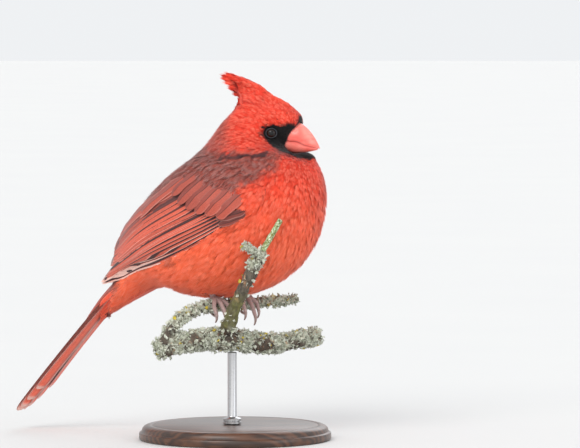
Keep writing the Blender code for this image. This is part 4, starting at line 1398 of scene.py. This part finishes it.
def perch_mesh():
    mesh = remeshed(merged_copy(("perch",)), "perch_bark", PERCH_VOXEL * MM, 6)
    points, normals = read_points(mesh), read_normals(mesh)
    spots = points / MM
    lump = np.array([noise.fractal(Vector(p) * 0.22, 1.0, 2.0, 4) for p in spots])
    furrow = np.array([abs(noise.noise(Vector((p[0] * 0.45, p[1] * 0.45, p[2] * 0.22)))) for p in spots])
    height = 0.55 * lump + BARK_RIDGE * (0.5 - 2.2 * furrow)
    bare = smooth_step(segment_distance(spots, *GREEN_TIP), 3.4, 2.2)
    low = smooth_step(spots[:, 2], 49.0, 47.5) * smooth_step(np.hypot(spots[:, 0], spots[:, 1]), 6.0, 4.0)
    write_points(mesh, points + normals * (height * (1 - 0.8 * bare) * (1 - low) * MM)[:, None])
    crust = np.array([noise.fractal(Vector(p) * 0.10 + Vector((7, 3, 1)), 1.0, 2.0, 3) for p in spots])
    stem = np.minimum(*(segment_distance(spots, a, b) for a, b in zip(STEM_LINE, STEM_LINE[1:])))
    stem = smooth_step(stem, 7, 5) * smooth_step(spots[:, 2], 59, 63)
    knob = smooth_step(np.linalg.norm(spots - STEM_KNOB, axis=1), 8.5, 5.0)
    moss = stem * smooth_step(spots[:, 2], 84, 72) + 0.5 * bare
    cover = smooth_step(crust, -0.45, 0.05) * (1 - bare) * (1 - 0.92 * stem * (1 - knob))
    store(mesh, "crust", cover)
    store(mesh, "bare", bare)
    store(mesh, "moss", np.clip(moss, 0, 1))
    store(mesh, "furrow", furrow)
    open_bark = np.where((stem > 0.3) & (knob < 0.3), 0.02, 0.2)
    store(mesh, "cover", np.where(low > 0.1, 0.0, open_bark + (1 - open_bark) * cover) * (1 - bare))
    store(mesh, "out", read_normals(mesh), "FLOAT_VECTOR")
    return mesh


def lobe_mesh(name, seed):
    """One crinkled lichen lobe of unit length: a short blade that curls up and forks at its end."""
    rng = np.random.default_rng(seed)
    points, faces = [], []
    rows, columns = 5, 5
    curl = rng.uniform(0.5, 1.1)
    for layer, drop in ((0, 0.0), (1, -0.10)):
        for row in range(rows):
            share = row / (rows - 1)
            for column in range(columns):
                across = 2 * column / (columns - 1) - 1
                half = 0.22 + 0.42 * share
                notch = 0.18 * share * math.cos(math.pi * across * 2)
                x = share * (0.85 + notch) * math.cos(curl * share)
                z = share * math.sin(curl * share) * 0.8 + 0.12 * math.cos(4 * across + seed) * share
                points.append((x, across * half + 0.04 * rng.uniform(-1, 1), z + drop))
    size = rows * columns

    def at(layer, row, column):
        return layer * size + row * columns + column

    for row in range(rows - 1):
        for column in range(columns - 1):
            loop = ((row, column), (row + 1, column), (row + 1, column + 1), (row, column + 1))
            faces.append(tuple(at(0, *corner) for corner in loop))
            faces.append(tuple(at(1, *corner) for corner in loop[::-1]))
    rim = [(0, c) for c in range(columns)] + [(r, columns - 1) for r in range(1, rows)]
    rim += [(rows - 1, c) for c in range(columns - 2, -1, -1)] + [(r, 0) for r in range(rows - 2, 0, -1)]
    for (r1, c1), (r2, c2) in zip(rim, rim[1:] + rim[:1]):
        faces.append((at(0, r1, c1), at(0, r2, c2), at(1, r2, c2), at(1, r1, c1)))
    mesh = new_mesh(name, points, faces)
    store(mesh, "edge", [min(1.0, abs(p[0]) + 0.3) for p in points])
    return mesh


def lichen_tree():
    """Lichen lobes spread over the bark."""
    inputs = (
        ("Geometry", "NodeSocketGeometry", None), ("Lobes", "NodeSocketCollection", None),
        ("Material", "NodeSocketMaterial", None), ("Spacing", "NodeSocketFloat", 0.001),
        ("Size", "NodeSocketFloat", 0.002), ("Seed", "NodeSocketInt", 1),
    )
    outputs = (("Geometry", "NodeSocketGeometry"),)
    tree, given, result = new_group("Lichen", "GeometryNodeTree", inputs, outputs)
    tree.is_modifier = True
    roots = spread_roots(tree, given.outputs["Geometry"], given.outputs["Spacing"], given.outputs["Seed"])
    spin = random_value(tree, "FLOAT_VECTOR", (-0.5, -0.5, -3.14), (0.5, 0.2, 3.14), 21)
    spin = add_node(tree, "FunctionNodeEulerToRotation", {0: spin})
    links = {0: roots.outputs["Rotation"], 1: spin.outputs[0]}
    turn = add_node(tree, "FunctionNodeRotateRotation", links, rotation_space="LOCAL")
    size = math_node(tree, "MULTIPLY", random_value(tree, "FLOAT", 0.5, 1.25, 22), given.outputs["Size"])
    scale = add_node(tree, "ShaderNodeCombineXYZ", {0: size, 1: size, 2: size})
    whole = place_shapes(tree, roots, given.outputs["Lobes"], turn.outputs[0], scale.outputs[0], (23, 24))
    links = {"Geometry": whole.outputs[0], "Material": given.outputs["Material"]}
    coloured = add_node(tree, "GeometryNodeSetMaterial", links)
    tree.links.new(coloured.outputs[0], result.inputs[0])
    return tree


def perch_materials(colours):
    bark, tree, shader, place = new_material("bark", 0.9)
    crust, bare, furrow, mossy = (shader_value(tree, name) for name in ("crust", "bare", "furrow", "moss"))
    grain = noise_value(tree, place, 500.0, 5.0, 0.7, (1.0, 1.0, 0.4))
    speck = noise_value(tree, place, 1400.0, 3.0, 0.6)
    wood = mix_colour(tree, grain, linear(colours.bark_dark), linear(colours.bark))
    wood = mix_colour(tree, spread_over(tree, furrow, 0.12, 0.0, 0.0, 0.8), wood, linear(colours.bark_dark))
    patch = noise_value(tree, place, 260.0, 5.0, 0.75, (1.0, 1.0, 0.55))
    wood = mix_colour(tree, spread_over(tree, patch, 0.56, 0.64, 0.0, 0.8), wood, linear(colours.bark_warm))
    wood = mix_colour(tree, spread_over(tree, patch, 0.44, 0.36, 0.0, 0.85), wood, linear(colours.bark_dark))
    green = mix_colour(tree, grain, linear(colours.moss_dark), linear(colours.moss))
    film = math_node(tree, "MULTIPLY", mossy, spread_over(tree, patch, 0.35, 0.6, 0.25, 1.0))
    wood = mix_colour(tree, film, wood, green)
    grey = mix_colour(tree, speck, linear(colours.lichen_dark), linear(colours.lichen))
    crusted = math_node(tree, "MULTIPLY", crust, spread_over(tree, grain, 0.35, 0.6))
    colour = mix_colour(tree, crusted, wood, grey)
    streak = noise_value(tree, place, 700.0, 4.0, 0.7, (1.0, 1.0, 0.35))
    streak = spread_over(tree, streak, 0.4, 0.6)
    fresh = mix_colour(tree, streak, linear(colours.moss), linear(colours.tip_green))
    fresh = mix_colour(tree, spread_over(tree, speck, 0.56, 0.62), fresh, linear(colours.lichen_pale))
    fresh = mix_colour(tree, spread_over(tree, speck, 0.44, 0.38), fresh, linear(colours.moss_dark))
    colour = mix_colour(tree, bare, colour, fresh)
    tree.links.new(colour, shader.inputs["Base Color"])
    add_bump(tree, shader, math_node(tree, "ADD", grain, patch), 0.0008, 0.9)
    lichen, tree, shader, place = new_material("lichen", 0.95)
    tuft, edge = shader_value(tree, "tuft"), shader_value(tree, "edge")
    speck = noise_value(tree, place, 1600.0, 3.0, 0.6)
    dark, pale = linear(colours.lichen_dark), linear(colours.lichen_pale)
    colour = mix_colour(tree, tuft, dark, linear(colours.lichen))
    colour = mix_colour(tree, spread_over(tree, edge, 0.5, 1.0, 0.0, 0.6), colour, pale)
    colour = mix_colour(tree, spread_over(tree, speck, 0.55, 0.8, 0.0, 0.5), colour, dark)
    colour = mix_colour(tree, spread_over(tree, tuft, 0.965, 0.975), colour, linear(colours.lichen_gold))
    tree.links.new(colour, shader.inputs["Base Color"])
    add_bump(tree, shader, speck, 0.0002, 0.7)
    return bark, lichen


def make_perch(colours):
    bark, lichen = perch_materials(colours)
    mesh = perch_mesh()
    lobes = bpy.data.collections.new("lobes")
    bpy.context.scene.collection.children.link(lobes)
    for seed in range(4):
        lobes.objects.link(bpy.data.objects.new(f"lobe_{seed}", lobe_mesh(f"lobe_{seed}", seed)))
    values = {"Lobes": lobes, "Material": lichen, "Spacing": 1.16 * MM, "Size": 2.0 * MM, "Seed": 3}
    crust = grown(mesh, lichen_tree(), "lichen", **values)
    for obj in list(lobes.objects):
        bpy.data.objects.remove(obj)
    bpy.data.collections.remove(lobes)
    paint(mesh, bark)
    drop_helpers(mesh)
    add_piece("perch_bark", mesh, "bark", "perch")
    add_piece("lichen", crust, "bark")


# Display stand

# Radius and height of each step, in millimetres
BASE_PROFILE = (
    (0.0, 0.0), (51.0, 0.0), (51.6, 0.3), (52.0, 0.9), (52.0, 3.4), (51.7, 4.0), (51.0, 4.2), (50.6, 4.6),
    (50.5, 5.2), (50.2, 6.2), (49.4, 7.1), (48.2, 7.7), (46.8, 8.0), (45.6, 8.0), (45.2, 7.75), (44.6, 7.75),
    (44.2, 8.0), (0.0, 8.0),
)
ROD_PROFILE = (
    (0.0, 8.35), (4.6, 8.35), (5.0, 8.7), (5.0, 9.6), (4.75, 9.8), (4.75, 10.0), (5.0, 10.2), (5.0, 11.2),
    (4.7, 11.5), (3.4, 11.9), (2.7, 12.3), (2.5, 12.8), (2.5, 46.9), (2.2, 47.3), (0.0, 47.3),
)
ROD_PLACE = (-1.6, 0.0)
BASE_SIDES = 128
ROD_SIDES = 48


def turned_mesh(name, profile, count, centre, material):
    """A round shape from (radius, height) steps, with its sharp edges marked."""

    def place(radius, height, turn):
        return (centre[0] + radius * math.cos(turn), centre[1] + radius * math.sin(turn), height)

    points, faces = lathe_rings(profile, count, place)
    mesh = new_mesh(name, np.array(points) * MM, [face[::-1] for face in faces], material)
    mesh.set_sharp_from_angle(angle=math.radians(35))
    return mesh


def make_stand(colours):
    wood, tree, shader, place = new_material("stand wood", 0.38, coat_weight=0.25, coat_roughness=0.3)
    wobble = noise_value(tree, place, 14.0, 3.0, 0.5, (1.0, 4.0, 4.0))
    bend = add_node(tree, "ShaderNodeCombineXYZ", {1: math_node(tree, "MULTIPLY", wobble, 0.035), 2: 0.0})
    bent = vector_node(tree, "ADD", {0: place, 1: bend.outputs[0]}).outputs[0]
    links = {"Vector": bent, "Scale": 55.0, "Distortion": 1.2, "Detail": 3.0, "Detail Roughness": 0.6}
    rings = add_node(tree, "ShaderNodeTexWave", links, bands_direction="Y").outputs["Fac"]
    pore = noise_value(tree, place, 420.0, 3.0, 0.6, (0.12, 1.0, 1.0))
    dark = linear(colours.wood_dark)
    colour = mix_colour(tree, rings, dark, linear(colours.wood))
    colour = mix_colour(tree, spread_over(tree, pore, 0.55, 0.75, 0.0, 0.7), colour, dark)
    tree.links.new(colour, shader.inputs["Base Color"])
    add_bump(tree, shader, pore, 0.00012, 0.5)
    mesh = turned_mesh("base", BASE_PROFILE, BASE_SIDES, (0, 0), wood)
    add_piece("base_turned", mesh, "stand_wood", "stand_base")
    steel, tree, shader, place = new_material("stand steel", 0.28, metallic=1.0)
    brush = noise_value(tree, place, 900.0, 3.0, 0.6, (1.0, 1.0, 8.0))
    colour = mix_colour(tree, brush, linear((0.66, 0.66, 0.67)), linear((0.80, 0.80, 0.80)))
    tree.links.new(colour, shader.inputs["Base Color"])
    tree.links.new(spread_over(tree, brush, 0.3, 0.7, 0.24, 0.36), shader.inputs["Roughness"])
    add_bump(tree, shader, brush, 0.00002, 0.4)
    mesh = turned_mesh("rod", ROD_PROFILE, ROD_SIDES, ROD_PLACE, steel)
    add_piece("rod_turned", mesh, "stand_steel", "stand_rod")


# Materials of the plumage


def plumage_group(colours):
    """The body plumage's colour, from the values that skin and coat both carry."""
    outputs = (("Color", "NodeSocketColor"),)
    tree, _, result = new_group("Plumage Colour", "ShaderNodeTree", (), outputs)
    place = tree.nodes.new("ShaderNodeTexCoord").outputs["Object"]
    along, strand, tuft = (shader_value(tree, name) for name in ("along", "strand", "tuft"))
    brown, mask, orange = (shader_value(tree, name) for name in ("brown", "mask", "orange"))
    blotch = noise_value(tree, place, 120.0, 2.0)
    warm = mix_colour(tree, orange, linear(colours.red), linear(colours.orange))
    tone = math_node(tree, "MULTIPLY_ADD", tuft, 0.5, math_node(tree, "MULTIPLY", strand, 0.5))
    warm = mix_colour(tree, spread_over(tree, tone, 0.5, 1.0, 0.0, 0.6), warm, linear(colours.pale_red))
    warm = mix_colour(tree, spread_over(tree, tone, 0.45, 0.0, 0.0, 0.65), warm, linear(colours.deep_red))
    tip = spread_over(tree, along, 0.6, 1.0)
    dusk = spread_over(tree, strand, 0.2, 0.9)
    dusk = mix_colour(tree, dusk, linear(colours.brown), linear(colours.brown_red))
    edge = math_node(tree, "MULTIPLY", tip, spread_over(tree, math_node(tree, "ADD", tuft, strand), 0.6, 1.2))
    dusk = mix_colour(tree, math_node(tree, "MULTIPLY", edge, 0.7), dusk, linear(colours.grey_edge))
    colour = mix_colour(tree, brown, warm, dusk)
    soft = spread_over(tree, along, 0.0, 0.55, 0.42, 1.0)
    soft = math_node(tree, "MULTIPLY", soft, spread_over(tree, blotch, 0.2, 0.8, 0.9, 1.06))
    shade = add_node(tree, "ShaderNodeCombineColor", {0: soft, 1: soft, 2: soft}).outputs[0]
    colour = mix_colour(tree, 1.0, colour, shade, "MULTIPLY")
    # Painted shadow in the gap between nape and mantle, and the flank's dark spot of under-feathers
    dark = math_node(tree, "MULTIPLY", shader_value(tree, "shade"), 0.85)
    colour = mix_colour(tree, dark, colour, linear(colours.painted_nape_shadow))
    colour = mix_colour(tree, mask, colour, linear(colours.mask))
    tree.links.new(colour, result.inputs[0])


def plumage_material(name, roughness):
    sheen = {"sheen_weight": 0.25, "sheen_roughness": 0.45, "specular_ior_level": 0.25}
    material, tree, shader, place = new_material(name, roughness, **sheen)
    colour = use_group(tree, "Plumage Colour")[0]
    tree.links.new(colour, shader.inputs["Base Color"])
    add_bump(tree, shader, noise_value(tree, place, 1400.0, 2.0), 0.0001, 0.5)
    return material


def flight_group():
    """The colour of long feathers, from their place along and across the vane."""
    outputs = (("Color", "NodeSocketColor"), ("Barbs", "NodeSocketFloat"))
    inputs = [(name, "NodeSocketColor", None) for name in ("Web", "Inner", "Below", "Edge", "Shaft")]
    tree, given, result = new_group("Flight Colour", "ShaderNodeTree", inputs, outputs)
    vane = add_node(tree, "ShaderNodeAttribute", attribute_name="vane").outputs["Vector"]
    parts = add_node(tree, "ShaderNodeSeparateXYZ", {0: vane}).outputs
    along, across, mark = parts[0], parts[1], parts[2]
    off = math_node(tree, "ABSOLUTE", across)
    slant = math_node(tree, "MULTIPLY_ADD", off, 0.25, math_node(tree, "MULTIPLY", along, 2.2))
    wander = math_node(tree, "MULTIPLY", off, 0.05)
    seeds = add_node(tree, "ShaderNodeCombineXYZ", {0: slant, 1: wander, 2: mark})
    barbs = noise_value(tree, seeds.outputs[0], 110.0, 3.0, 0.7)
    redness, pale, dusk = (shader_value(tree, name) for name in TONES)
    inner = spread_over(tree, across, -0.02, 0.10)
    inner = math_node(tree, "MULTIPLY", inner, spread_over(tree, redness, 0.6, 1.0, 0.4, 1.0))
    web = mix_colour(tree, redness, given.outputs["Inner"], given.outputs["Web"])
    web = mix_colour(tree, spread_over(tree, mark, 0.0, 1.0, 0.0, 0.2), web, given.outputs["Inner"])
    colour = mix_colour(tree, inner, web, given.outputs["Inner"])
    shaft = spread_over(tree, off, 0.16, 0.05)
    colour = mix_colour(tree, math_node(tree, "MULTIPLY", shaft, 0.8), colour, given.outputs["Shaft"])
    colour = mix_colour(tree, shader_value(tree, "below"), colour, given.outputs["Below"])
    far = spread_over(tree, along, 0.3, 0.6, 0.0, 0.6)
    far = math_node(tree, "MULTIPLY", far, spread_over(tree, pale, 0.97, 1.0))
    far = math_node(tree, "MULTIPLY", far, spread_over(tree, across, 0.0, -0.1))
    rim = spread_over(tree, math_node(tree, "ADD", off, far), 0.76, 0.92)
    rim = math_node(tree, "MULTIPLY", rim, spread_over(tree, across, 0.9, -0.1, 0.6, 1.0))
    tips = spread_over(tree, along, 0.955, 0.99)
    rim = math_node(tree, "MULTIPLY", math_node(tree, "MAXIMUM", rim, tips), pale)
    colour = mix_colour(tree, rim, colour, given.outputs["Edge"])
    tone = spread_over(tree, barbs, 0.3, 0.7, 0.64, 1.2)
    shade = add_node(tree, "ShaderNodeCombineColor", {0: tone, 1: tone, 2: tone}).outputs[0]
    colour = mix_colour(tree, 1.0, colour, shade, "MULTIPLY")
    # Darker towards near black by the dusk tone; on the upper tail coverts this is partly painted shadow of the
    # wing
    colour = mix_colour(tree, math_node(tree, "MULTIPLY", dusk, 0.8), colour, (0.035, 0.026, 0.028))
    tree.links.new(colour, result.inputs[0])
    tree.links.new(barbs, result.inputs[1])


def vane_material(name, **colours):
    """A long feather's material. The colours are Web, Inner, Below, Edge and Shaft."""
    material, tree, shader, _ = new_material(name, 0.5, sheen_weight=0.15, specular_ior_level=0.3)
    links = {key: (*linear(colour), 1) for key, colour in colours.items()}
    colour, barbs = use_group(tree, "Flight Colour", links)
    tree.links.new(colour, shader.inputs["Base Color"])
    add_bump(tree, shader, barbs, 0.0001, 0.5)
    return material


def flight_material():
    chosen = bpy.context.scene.cardinal_colours
    return vane_material(
        "wing vanes", Web=chosen.wing_web, Inner=chosen.wing_inner, Below=chosen.wing_inner,
        Edge=chosen.pale_edge, Shaft=chosen.mask,
    )


def tail_material():
    chosen = bpy.context.scene.cardinal_colours
    return vane_material(
        "tail vanes", Web=chosen.wing_web, Inner=chosen.tail_dusk, Below=chosen.tail_below,
        Edge=chosen.pale_edge, Shaft=chosen.pale_edge,
    )


def covert_material():
    chosen = bpy.context.scene.cardinal_colours
    return vane_material(
        "tail coverts", Web=chosen.tail_covert, Inner=chosen.tail_covert, Below=chosen.tail_covert,
        Edge=chosen.pale_red, Shaft=chosen.orange,
    )


# Stage

VIEW_CENTRE = (0.0297, 0.0, 0.1166)
VIEW_ELEVATION = math.radians(3)
VIEW_DISTANCE = 2.5
VIEW_WIDTH = 0.3132
SENSOR = 36.0
CLIP_END = 100.0
FLOOR_SIDES = 64
FLOOR_RADIUS = 12.0
# Name, place, spread in degrees, power and colour of each lamp
LAMPS = (
    ("key", (-0.7, -1.5, 1.5), 35.0, 1.5, (1.0, 0.98, 0.95)),
    ("fill", (1.6, -0.9, 0.6), 40.0, 0.55, (0.95, 0.97, 1.0)),
    ("rim", (0.5, 1.5, 1.2), 40.0, 0.6, (0.97, 0.98, 1.0)),
    ("front", (0.15, -1.6, 0.04), 50.0, 0.5, (1.0, 0.99, 0.98)),
)


def make_stage(studio):
    scene = bpy.context.scene
    scene.view_settings.view_transform = "Standard"
    camera = bpy.data.cameras.new("camera")
    camera.sensor_width = SENSOR
    camera.lens = SENSOR * VIEW_DISTANCE / VIEW_WIDTH
    camera.clip_end = CLIP_END
    eye = add_object("camera", camera)
    back = Vector((0, -math.cos(VIEW_ELEVATION), math.sin(VIEW_ELEVATION)))
    eye.location = Vector(VIEW_CENTRE) + back * VIEW_DISTANCE
    eye.rotation_euler = (-back).to_track_quat("-Z", "Y").to_euler()
    scene.camera = eye
    turns = [2 * math.pi * k / FLOOR_SIDES for k in range(FLOOR_SIDES)]
    rim = [(FLOOR_RADIUS * math.cos(a), FLOOR_RADIUS * math.sin(a), 0.0) for a in turns]
    material, tree, shader, place = new_material("floor", 0.85)
    tone = noise_value(tree, place, 6.0, 4.0)
    colour = mix_colour(tree, tone, linear((0.83, 0.83, 0.83)), linear((0.845, 0.845, 0.84)))
    tree.links.new(colour, shader.inputs["Base Color"])
    add_object("floor", new_mesh("floor", rim, [tuple(range(FLOOR_SIDES))], material, False))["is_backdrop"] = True
    world = bpy.data.worlds.new("studio")
    world.use_nodes = True
    sky = world.node_tree.nodes["Background"]
    sky.inputs["Color"].default_value = (0.96, 0.98, 1.0, 1.0)
    sky.inputs["Strength"].default_value = studio.surround
    scene.world = world
    for name, source, spread, power, tint in LAMPS:
        light = bpy.data.lights.new(name, "SUN")
        light.angle = math.radians(spread)
        light.energy = power * studio.lamps
        light.color = tint
        lamp = add_object(name, light)
        lamp.location = source
        lamp.rotation_euler = (Vector(VIEW_CENTRE) - Vector(source)).to_track_quat("-Z", "Y").to_euler()


# Settings, operators and panel


def colour_property(name, description, default):
    screen = tuple(c / 255 for c in default)
    return bpy.props.FloatVectorProperty(
        name=name, description=description, default=screen, size=3, min=0.0, max=1.0, subtype="COLOR_GAMMA"
    )


def length_property(name, description, default):
    return bpy.props.FloatProperty(
        name=name, description=description, default=default, min=0.0, unit="LENGTH", subtype="DISTANCE"
    )


class PlumageColours(bpy.types.PropertyGroup):
    red: colour_property("Red", "Head and breast feathers", (232, 60, 38))
    # Also lightens the lower body: partly the belly's own colour, partly painted light from below
    orange: colour_property("Orange", "Belly feathers", (255, 112, 70))
    pale_red: colour_property("Pale red", "Palest strands", (255, 148, 122))
    deep_red: colour_property("Deep red", "Darkest strands", (186, 32, 24))
    brown: colour_property("Brown", "Feathers of the mantle", (112, 58, 52))
    brown_red: colour_property("Brown red", "Redder strands of the mantle", (176, 78, 64))
    grey_edge: colour_property("Grey edge", "Edges of the mantle's feathers", (196, 160, 154))
    mask: colour_property("Mask", "Feathers round the bill", (13, 11, 12))
    # Colour of the painted shadow between nape and mantle, also of the flank's dark spot
    painted_nape_shadow: colour_property("Painted nape shadow", "Dark gap between nape and mantle", (42, 36, 42))
    wing_web: colour_property("Wing web", "Outer webs of the wing's feathers", (226, 100, 76))
    wing_inner: colour_property("Wing inner web", "Inner webs of the wing's feathers", (70, 40, 42))
    tail_dusk: colour_property("Tail dusk", "Upper side of the tail", (128, 62, 62))
    tail_below: colour_property("Tail below", "Underside of the tail", (255, 108, 76))
    tail_covert: colour_property("Tail covert", "Short feathers round the tail's root", (228, 84, 56))
    pale_edge: colour_property("Pale edge", "Rims of the long feathers", (250, 202, 188))
    bill: colour_property("Bill", "Horn of the bill", (238, 96, 84))
    bill_pale: colour_property("Pale bill", "Palest horn", (252, 152, 138))
    # Also the painted shade along the mouth line
    bill_deep: colour_property("Deep bill", "Darkest horn, along the mouth", (186, 44, 32))
    foot: colour_property("Foot", "Scales of the toes", (196, 172, 166))
    foot_dark: colour_property("Dark foot", "Creases of the toes", (136, 104, 102))
    claw: colour_property("Claw", "Horn of the claws", (124, 98, 94))
    bark: colour_property("Bark", "Ridges of the bark", (118, 104, 90))
    bark_dark: colour_property("Dark bark", "Furrows of the bark", (42, 36, 34))
    bark_warm: colour_property("Warm bark", "Peeled patches of the bark", (190, 138, 98))
    moss: colour_property("Moss", "Film of moss", (136, 134, 72))
    moss_dark: colour_property("Dark moss", "Shaded moss", (66, 66, 40))
    tip_green: colour_property("Tip green", "Pale green of the broken tip", (170, 196, 146))
    lichen: colour_property("Lichen", "Crusts on the bark", (208, 210, 194))
    lichen_dark: colour_property("Dark lichen", "Shaded lichen", (156, 162, 138))
    lichen_pale: colour_property("Pale lichen", "Edges of the lichen", (232, 234, 222))
    lichen_gold: colour_property("Gold lichen", "A few golden lobes", (206, 184, 72))
    wood: colour_property("Wood", "Light grain of the stand", (92, 58, 38))
    wood_dark: colour_property("Dark wood", "Dark grain of the stand", (50, 30, 20))


class CoatSizes(bpy.types.PropertyGroup):
    coat_depth: length_property("Coat depth", "Scale of the coat's depth, one millimetre as drawn", 1.0 * MM)


class StudioSettings(bpy.types.PropertyGroup):
    surround: bpy.props.FloatProperty(name="Surround", description="Light from all round", default=0.9)
    lamps: bpy.props.FloatProperty(name="Lamps", description="Scale of the lamps' power", default=1.0)


class CARDINAL_OT_skin(bpy.types.Operator):
    """Make the one skin under the feathers, and the body's coat"""

    bl_idname = "cardinal.skin"
    bl_label = "Skin and Coat"

    def execute(self, context):
        colours = context.scene.cardinal_colours
        plumage_group(colours)
        flight_group()
        skin = make_skin(context.scene.cardinal_coat)
        paint(skin, plumage_material("skin", 0.9))
        plumage_material("coat", 0.7)
        make_coat(skin)
        drop_helpers(skin)
        add_piece("skin", skin, "red_plumage", "trunk", "neck", "head", "crest")
        return {"FINISHED"}


class CARDINAL_OT_wings(bpy.types.Operator):
    """Make the long feathers of both folded wings"""

    bl_idname = "cardinal.wings"
    bl_label = "Wings"

    def execute(self, context):
        make_wings()
        return {"FINISHED"}


class CARDINAL_OT_tail(bpy.types.Operator):
    """Make the tail's feathers"""

    bl_idname = "cardinal.tail"
    bl_label = "Tail"

    def execute(self, context):
        make_tail()
        return {"FINISHED"}


class CARDINAL_OT_eyes(bpy.types.Operator):
    """Make the eyes and their bare rims"""

    bl_idname = "cardinal.eyes"
    bl_label = "Eyes and Lids"

    def execute(self, context):
        make_eyes()
        return {"FINISHED"}


class CARDINAL_OT_bill(bpy.types.Operator):
    """Make both halves of the bill"""

    bl_idname = "cardinal.bill"
    bl_label = "Bill"

    def execute(self, context):
        make_bill(context.scene.cardinal_colours)
        return {"FINISHED"}


class CARDINAL_OT_feet(bpy.types.Operator):
    """Make the scaled toes and the claws"""

    bl_idname = "cardinal.feet"
    bl_label = "Feet"

    def execute(self, context):
        make_feet(context.scene.cardinal_colours)
        return {"FINISHED"}


class CARDINAL_OT_perch(bpy.types.Operator):
    """Make the branch's bark and the lichen on it"""

    bl_idname = "cardinal.perch"
    bl_label = "Perch and Lichen"

    def execute(self, context):
        make_perch(context.scene.cardinal_colours)
        return {"FINISHED"}


class CARDINAL_OT_stand(bpy.types.Operator):
    """Make the turned base and the steel rod"""

    bl_idname = "cardinal.stand"
    bl_label = "Stand"

    def execute(self, context):
        make_stand(context.scene.cardinal_colours)
        return {"FINISHED"}


class CARDINAL_OT_stage(bpy.types.Operator):
    """Make the floor, the lights and the camera"""

    bl_idname = "cardinal.stage"
    bl_label = "Stage"

    def execute(self, context):
        make_stage(context.scene.cardinal_studio)
        return {"FINISHED"}


class CARDINAL_PT_panel(bpy.types.Panel):
    """Lists the steps that make the model's looks"""

    bl_idname = "CARDINAL_PT_panel"
    bl_label = "Cardinal"
    bl_space_type = "VIEW_3D"
    bl_region_type = "UI"
    bl_category = "Cardinal"

    def draw(self, context):
        for group in SETTINGS:
            for name in SETTINGS[group].__annotations__:
                self.layout.prop(getattr(context.scene, group), name)
        for step in STEPS:
            self.layout.operator(step.bl_idname)


SETTINGS = {
    "cardinal_colours": PlumageColours,
    "cardinal_coat": CoatSizes,
    "cardinal_studio": StudioSettings,
}
STEPS = (
    CARDINAL_OT_skin, CARDINAL_OT_wings, CARDINAL_OT_tail, CARDINAL_OT_eyes, CARDINAL_OT_bill,
    CARDINAL_OT_feet, CARDINAL_OT_perch, CARDINAL_OT_stand, CARDINAL_OT_stage,
)
CLASSES = (*SETTINGS.values(), *STEPS, CARDINAL_PT_panel)


def register():
    for kind in CLASSES:
        bpy.utils.register_class(kind)
    for name, kind in SETTINGS.items():
        setattr(bpy.types.Scene, name, bpy.props.PointerProperty(type=kind))


def unregister():
    for name in SETTINGS:
        delattr(bpy.types.Scene, name)
    for kind in reversed(CLASSES):
        bpy.utils.unregister_class(kind)


def main():
    register()
    for step in STEPS:
        family, name = step.bl_idname.split(".")
        getattr(getattr(bpy.ops, family), name)()
    boxes = {"cad": CAD_BOX, "visual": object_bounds()}
    {key: [[float(c) for c in corner] for corner in box] for key, box in boxes.items()}


if __name__ == "__main__":
    main()
